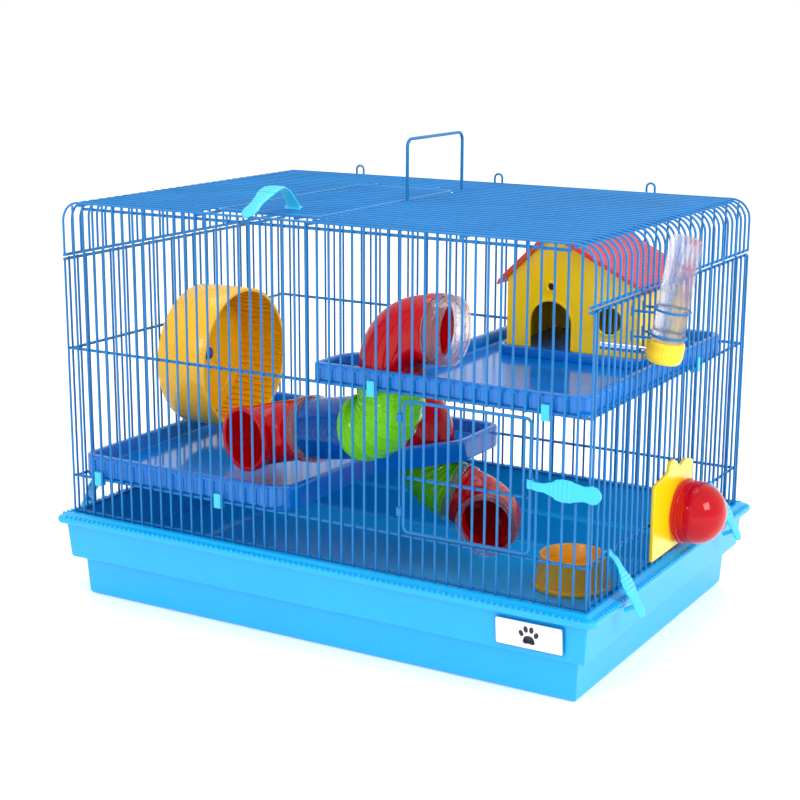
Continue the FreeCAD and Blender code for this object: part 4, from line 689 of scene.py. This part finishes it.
# ------------------------------------------------------------------ wheel
def wheel():
    """Drum open on one side, with tread ribs, a rolled rim and a hub."""
    low, high = corners("wheel_drum")
    radius = (high.z - low.z) / 2
    width = high.x - low.x
    centre = Vector((low.x, (low.y + high.y) / 2, (low.z + high.z) / 2))
    matrix = aim((1, 0, 0), centre, side=(0, 0, 1))
    skin = 2.0
    profile = [(4.06, 0), (radius - 1.5, 0), (radius - 0.4, 0.4), (radius, 1.5), (radius, width - 4.2),
               (radius - 0.4, width - 3.6), (radius - 0.4, width - 3.0), (radius, width - 2.4),
               (radius, width - 0.8), (radius - 0.6, width), (radius - 2.6, width),
               (radius - 3.2, width - 0.8), (radius - skin - 0.2, width - 4.2),
               (radius - skin, width - 5), (radius - skin, skin + 2.0),
               (radius - skin - 0.6, skin + 0.6), (radius - skin - 2, skin),
               (radius - 11, skin), (radius - 11.6, skin + 0.7), (radius - 13.0, skin + 0.7),
               (radius - 13.6, skin), (20.5, skin), (19.8, skin + 0.8), (17.6, skin + 0.8), (16.8, skin),
               (10.6, skin + 0.2), (9.2, skin + 1.4), (8.2, 8.0), (7.4, 9.0), (4.06, 9.0)]
    drum = lathe(profile, 128)
    parts = [drum]
    ribs = 60
    for k in range(ribs):
        rib = block((radius - skin - 1.5, -0.85, skin), (radius - skin + 0.3, 0.85, width - 4.5))
        parts.append(moved(rib, Matrix.Rotation(TAU * k / ribs, 4, "Z")))
    spokes = 6
    for k in range(spokes):
        spoke = block((9.0, -1.2, skin - 0.4), (radius - 12.4, 1.2, skin + 0.7))
        parts.append(moved(spoke, Matrix.Rotation(TAU * k / spokes, 4, "Z")))
    make("wheel_shell", *moved(joined(*parts), matrix), GOLD, "wheel", "wheel_drum", "yellow",
         sharp=40, merge=False)
    low, high = corners("wheel_axle")
    length = high.x - low.x
    head = high.z - (low.z + high.z) / 2
    pin = [(0, 0), (3.4, 0), (3.95, 0.6), (3.95, length - 3.7), (head - 0.2, length - 3.6),
           (head, length - 3.2)]
    pin += [(head * math.cos(a), length - 3.0 + 3.0 * math.sin(a)) for a in
            [math.radians(15 * k) for k in range(1, 6)]] + [(0, length)]
    make("wheel_pin", *moved(lathe(pin, 48, closed=False), aim((1, 0, 0), (low.x, centre.y, centre.z))),
         PIN, "cage", "wheel_axle", "pin_blue")
    softened("wheel_bracket", GOLD, "cage", 0.5)


# ------------------------------------------------------------------ house
def house():
    """Yellow walls with trims round the openings, red ribbed roof, blue plinth with a rim."""
    softened("house_walls", YELLOW, "cage", 0.7)
    low, high = corners("house_walls")
    front, foot = low.y, low.z
    ridge_x = 137.0
    eaves_z = 297
    window = (190, 268, 11.8)
    vent = (ridge_x, 292, 3.3)
    trim = 1.5
    face = front - 0.5

    def arch(inner, outer):
        """Flat band round the doorway."""
        height = 22
        rings = []
        for depth in (face, front + 0.6):
            inside = [(ridge_x + inner, foot + 0.6)]
            inside += [(ridge_x + inner * math.cos(a), foot + height + inner * math.sin(a))
                       for a in [math.pi * k / 24 for k in range(25)]]
            inside += [(ridge_x - inner, foot + 0.6)]
            outside = [(ridge_x + outer, foot + 0.6)]
            outside += [(ridge_x + outer * math.cos(a), foot + height + outer * math.sin(a))
                        for a in [math.pi * k / 24 for k in range(25)]]
            outside += [(ridge_x - outer, foot + 0.6)]
            loop = [(x, depth, z) for x, z in inside] + [(x, depth, z) for x, z in reversed(outside)]
            rings.append(loop)
        count = len(rings[0])
        verts = rings[0] + rings[1]
        faces = [(k, (k + 1) % count, count + (k + 1) % count, count + k) for k in range(count)]
        half = count // 2
        for base in (0, count):
            faces += [(base + k, base + k + 1, base + count - 2 - k, base + count - 1 - k)
                      for k in range(half - 1)]
        return verts, faces

    make("house_door_trim", *arch(19.0, 21.4), YELLOW, "cage", slot="yellow", bevel=0.35)
    for index, (x, z, radius) in enumerate((window, vent)):
        hoop = [(radius - 0.3, -0.6), (radius + trim, -0.6), (radius + trim, 0.9),
                (radius + trim - 0.4, 1.2), (radius + 0.1, 1.2), (radius - 0.3, 0.9)]
        part = moved(lathe(hoop, 48), aim((0, -1, 0), (x, front, z)))
        make(f"house_window_trim_{index}", *part, YELLOW, "cage", slot="yellow", bevel=0.2)
    low, high = corners("house_roof")
    wall_low, wall_high = corners("house_walls")
    ridge_z = wall_high.z
    rise = ridge_z - eaves_z
    thick = 4.9

    def under(x):
        """Underside of the roof over a point of the house's width."""
        if x <= ridge_x:
            return ridge_z - (ridge_x - x) * rise / (ridge_x - wall_low.x) + 0.15
        return ridge_z - (x - ridge_x) * rise / (wall_high.x - ridge_x) + 0.15

    xs = [low.x + 0.3, low.x + 1.2]
    xs += [low.x + 1.2 + (ridge_x - 6 - low.x - 1.2) * k / 6 for k in range(1, 7)]
    xs += [ridge_x - 3, ridge_x - 1, ridge_x + 1, ridge_x + 4]
    xs += [ridge_x + 4 + (high.x - 1.2 - ridge_x - 4) * k / 10 for k in range(1, 11)] + [high.x - 0.3]

    def crown(x, lift):
        """Top of the roof with a rounded ridge."""
        nose = max(0, 1 - abs(x - ridge_x) / 9)
        edge = min(1, (x - low.x) / 1.5, (high.x - x) / 1.5)
        return under(x) + thick * 0.95 * max(edge, 0.35) + lift - 1.6 * nose * nose

    rings = []
    stations = 56
    for k in range(stations + 1):
        y = low.y + (high.y - low.y) * k / stations
        end = min(1, k / 1.5, (stations - k) / 1.5)
        lift = -0.9 + 0.9 * (0.5 + 0.5 * math.cos(k * TAU / 4)) - 0.5 * (1 - end)
        rings.append([(x, y, under(x)) for x in xs] + [(x, y, crown(x, lift)) for x in reversed(xs)])
    make("house_roof_shell", *loft(rings), ROOF_RED, "cage", "house_roof", "roof_red", sharp=45)

    low, high = corners("house_base")
    shape = rectangle((high.x - low.x) / 2, (high.y - low.y) / 2,
                      ((low.x + high.x) / 2, (low.y + high.y) / 2))
    profile = [(2, low.z, 0), (0.4, low.z + 0.3, 0), (0, low.z + 1.2, 0), (0, high.z, 0),
               (0.4, high.z + 1.0, 0), (1.4, high.z + 1.4, 0), (2.8, high.z + 1.4, 0),
               (3.6, high.z + 0.9, 0), (4.0, high.z + 0.1, 0), (5.0, high.z, 0)]
    rings = lathe_outline(shape, [12] * 4, profile, step=8)
    parts = [loft(rings, caps=False), filled(rings[0]), filled(rings[-1])]
    make("house_plinth", *joined(*parts), DECK, "cage", "house_base", "deck_blue", sharp=45)


# ------------------------------------------------------------------ bottle
def bottle():
    """Clear bottle in a fluted yellow cap, leaning out at the top."""
    low, high = corners("bottle_cap")
    centre_y = (low.y + high.y) / 2
    lean = math.radians(9)
    up = Vector((math.sin(lean), 0, math.cos(lean)))
    radius = (high.y - low.y) / 2
    foot = Vector((low.x + radius * math.cos(lean) - 0.6, centre_y, low.z + radius * math.sin(lean)))
    matrix = aim(up, foot, side=(1, 0, 0))
    cap_length = 17.0
    cap = [(0, 0.6), (radius - 5.5, 0.6), (radius - 4.6, 0), (radius - 3, 0), (radius - 1.6, 0.9),
           (radius - 0.7, 2.8), (radius, 5.6), (radius, 6.4), (radius, cap_length - 2.6),
           (radius, cap_length - 2.0), (radius - 0.5, cap_length - 0.4), (radius - 1.4, cap_length),
           (0, cap_length)]
    part = lathe(cap, 144, closed=False, flutes=36, depth=0.55, fluted=(7, 8))
    make("bottle_cap_fluted", *moved(part, matrix), YELLOW, "cage", "bottle_cap", "yellow", sharp=50)
    body = (corners("bottle_body")[1].y - corners("bottle_body")[0].y) / 2
    top = cap_length + 82
    outside = [(body - 2.2, cap_length + 0.1), (body, cap_length + 0.1), (body, cap_length + 6)]
    for k in range(6):
        z = cap_length + 12 + k * 10
        outside += [(body, z), (body - 0.5, z + 0.7), (body - 0.5, z + 1.5), (body, z + 2.2)]
    outside += arc_points((body - 5, top - 5), 5, 0, 90, 8) + [(0, top)]
    inside = [(0, top - 1.4)] + arc_points((body - 5, top - 5), 3.6, 90, 0, 6)
    inside += [(body - 1.4, cap_length + 1.5), (0, cap_length + 1.5)]
    part = lathe(outside + inside, 72, closed=False)
    make("bottle_vessel", *moved(part, matrix), BOTTLE, "cage", "bottle_body", "clear", sharp=40)
    level = cap_length + 38
    water = [(0, cap_length + 1.7), (body - 1.6, cap_length + 1.7), (body - 1.6, level), (0, level)]
    make("bottle_water", *moved(lathe(water, 48, closed=False), matrix), WATER, "cage", slot="clear")


# ------------------------------------------------------------------ exit port
def exit_port():
    """Yellow plate, red collar and a see-through red dome."""
    softened("exit_plate", YELLOW, "cage", 0.6)
    low, high = corners("exit_collar")
    centre = (low.y + high.y) / 2, (low.z + high.z) / 2
    outer = (high.y - low.y) / 2
    length = high.x - low.x
    slip = 0.06
    bore = outer - 1.8
    matrix = aim((1, 0, 0), (low.x, *centre))
    hoop = [(bore, 0), (outer, 0), (outer, length - 0.6), (outer - 0.6, length), (bore + 0.4, length),
            (bore, length - 0.4)]
    make("exit_hoop", *moved(lathe(hoop, 96), matrix), RED_SOLID, "cage", "exit_collar", "red_solid")
    low, high = corners("exit_cap")
    reach = high.x - low.x
    flange = (high.y - low.y) / 2
    wall = flange - 1.2
    matrix = aim((1, 0, 0), (low.x, *centre))
    inner = outer + slip
    shell = [(inner, 0.3), (inner + 0.4, 0), (flange - 0.5, 0), (flange, 0.5), (flange, 2.4),
             (flange - 0.4, 2.9), (wall, 3.2), (wall, 8.0), (wall - 0.5, 8.4), (wall - 0.5, 9.4),
             (wall, 9.8)]
    depth = reach - 11
    shell += [(wall * math.cos(a), 11 + depth * math.sin(a))
              for a in [math.radians(5 * k) for k in range(18)]]
    shell += [(0, reach), (0, reach - 2)]
    shell += [((wall - 2) * math.cos(a), 11 + (depth - 2) * math.sin(a))
              for a in [math.radians(85 - 5 * k) for k in range(17)]]
    shell += [(inner, 9.5)]
    make("exit_dome", *moved(lathe(shell, 96), matrix), DOME, "exit_cap", "exit_cap", "red_clear")


def bowl():
    """Yellow bowl, wider at the foot."""
    low, high = corners("food_bowl")
    foot = (high.x - low.x) / 2
    rise = high.z - low.z
    lip = foot - 7
    centre = ((low.x + high.x) / 2, (low.y + high.y) / 2, low.z)
    profile = [(0, 0.8), (foot - 4, 0.8), (foot - 3.4, 0), (foot - 0.8, 0), (foot, 0.8), (foot, 3.2),
               (foot - 0.6, 4.2), (foot - 1.6, 4.8), (lip + 0.5, rise - 3.4), (lip + 0.9, rise - 2.6),
               (lip + 0.9, rise - 0.9), (lip + 0.1, rise), (lip - 1.4, rise), (lip - 2.2, rise - 0.9),
               (lip - 3.4, 10), (lip - 5.0, 6.0), (lip - 9.0, 4.2), (0, 4)]
    make("bowl_shell", *moved(lathe(profile, 96, closed=False), Matrix.Translation(centre)), BOWL,
         "tray", "food_bowl", "yellow", sharp=45)


# ------------------------------------------------------------------ clips
def clip_part(spine, width, ribs, eye_radius, eye_bore, eye_width):
    """Snap clip in its own frame: the pivot is the X axis and the plate runs along +Y.

    spine: (y, z) centre line of the plate; width: half width at a distance along it.
    """
    points = [Vector(p) for p in spine]
    lengths = [0.0]
    for a, b in zip(points, points[1:]):
        lengths.append(lengths[-1] + (b - a).length)
    total = lengths[-1]

    def at(s):
        for i in range(len(points) - 1):
            if s <= lengths[i + 1] or i == len(points) - 2:
                t = (s - lengths[i]) / (lengths[i + 1] - lengths[i])
                return points[i].lerp(points[i + 1], t)

    stations = 150
    rings = []
    for k in range(stations + 1):
        s = total * k / stations
        here = at(s)
        ahead = (at(min(s + 2.5, total)) - at(max(s - 2.5, 0))).normalized()
        out = Vector((-ahead.y, ahead.x))
        half = width(s / total)
        thick = 1.0
        if ribs[0] < s / total < ribs[1]:
            phase = (s / total - ribs[0]) / (ribs[1] - ribs[0]) * ribs[2]
            thick += 0.55 * max(0, math.sin(phase * TAU)) ** 0.5
        ring = []
        for m in range(28):
            a = TAU * m / 28
            cx = abs(math.cos(a)) ** 0.35 * math.copysign(1, math.cos(a))
            cz = abs(math.sin(a)) ** 0.6 * math.copysign(1, math.sin(a))
            lift = (thick if cz > 0 else 1.0) * cz
            p = here + out * lift
            ring.append((half * cx, p.x, p.y))
        rings.append(ring)
    plate = loft(rings)
    half = eye_width / 2
    hoop = [(eye_bore, -half + 0.2), (eye_bore + 0.2, -half), (eye_radius - 0.3, -half),
            (eye_radius, -half + 0.3), (eye_radius, half - 0.3), (eye_radius - 0.3, half),
            (eye_bore + 0.2, half), (eye_bore, half - 0.2)]
    eye = moved(lathe(hoop, 40), aim((1, 0, 0), (0, 0, 0)))
    return joined(plate, eye)


def placed(pivot, *axes):
    """Matrix that carries X, Y and Z to the given axes, at a pivot."""
    return Matrix.Translation(pivot) @ Matrix(axes).transposed().to_4x4()


def hourglass(t):
    """Half width of a clip from its neck to its round tab."""
    marks = [(0.0, 3.4), (0.2, 3.5), (0.3, 5.2), (0.4, 8.2), (0.47, 9.0), (0.56, 8.7), (0.68, 6.9),
             (0.76, 5.9), (0.8, 6.2), (0.87, 7.2), (0.93, 6.6), (0.97, 4.7), (0.99, 3.0), (1.0, 1.6)]
    for (a, wa), (b, wb) in zip(marks, marks[1:]):
        if t <= b:
            u = (t - a) / (b - a)
            u = u * u * (3 - 2 * u)
            return wa + (wb - wa) * u
    return marks[-1][1]


def clips():
    """The four side clips, the door's clip and the arched roof clip."""
    start = [(1.8, 1.8), (3.5, 2.9), (5.5, 3.9), (8, 4.5), (11, 4.7)]
    lean = math.radians(29)
    eye, eye_bore = 2.88, 1.38
    for node in ("clip_right_front", "clip_right_back", "clip_left_front", "clip_left_back"):
        low, high = corners(node)
        side = 1 if low.x > 0 else -1
        pivot = Vector((low.x + eye, 0, 0)) if side > 0 else Vector((high.x - eye, 0, 0))
        pivot.y = (low.y + high.y) / 2
        pivot.z = high.z - eye
        way = Vector((side * math.sin(lean), 0, -math.cos(lean)))
        x_axis = Vector((0, -side, 0))
        part = clip_part(start + [(55.2, 4.7)], hourglass, (0.3, 0.62, 5), eye, eye_bore, 7)
        hook = block((-2.5, 43.8, -6.9), (2.5, 46.8, 4.4))
        part = moved(joined(part, hook), placed(pivot, x_axis, way, x_axis.cross(way)))
        make(node + "_shell", *part, CLIP, node, node, "clip_cyan", sharp=55)
    low, high = corners("front_latch")
    pivot = Vector((low.x + eye, high.y - eye, (low.z + high.z) / 2))
    part = clip_part(start + [(60.2, 4.7)], hourglass, (0.3, 0.6, 5), eye, eye_bore, 7)
    part = moved(part, placed(pivot, (0, 0, -1), (1, 0, 0), (0, -1, 0)))
    make("front_latch_shell", *part, CLIP, "front_latch", "front_latch", "clip_cyan", sharp=55)
    low, high = corners("top_latch")
    eye, eye_bore = 2.58, 1.08
    pivot = Vector(((low.x + high.x) / 2, high.y - eye, low.z + eye))
    spine = [(0.5, 2.4), (3, 5.6), (7, 10.6), (12.5, 16.4), (18, 18.6), (24, 19.7), (30, 19.7),
             (38, 17.6), (46, 13.6), (52, 10.4), (60, 6.2), (67, 2.2), (71, 0.4)]

    def band(t):
        return hourglass(t) if t > 0.25 else 6.5 - 8 * min(t, 0.25)

    part = clip_part(spine, band, (0.34, 0.6, 5), eye, eye_bore, 16)
    part = moved(part, placed(pivot, (-1, 0, 0), (0, -1, 0), (0, 0, 1)))
    make("top_latch_shell", *part, CLIP, "top_latch", "top_latch", "clip_cyan", sharp=55)


# ------------------------------------------------------------------ carried-over nodes
def carried_over():
    """CAD nodes whose shape is right get their finish."""
    finishes = {
        WIRE: ("front_panel", "back_panel", "left_panel", "right_panel", "front_door", "bottle_holder",
               "carry_handle", "back_hooks"),
        # The top panel and top door take the lighter copy of the coat, which is painted light on the
        # top.
        ROOF_WIRE_PAINTED_LIGHT: ("top_panel", "top_door"),
        STEEL: ("bottle_spout",),
    }
    for material, nodes in finishes.items():
        for node in nodes:
            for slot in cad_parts[node].material_slots:
                slot.material = material


camera()
studio()
tray()
label()
platforms()
tube_run()
wheel()
house()
bottle()
exit_port()
bowl()
clips()
carried_over()
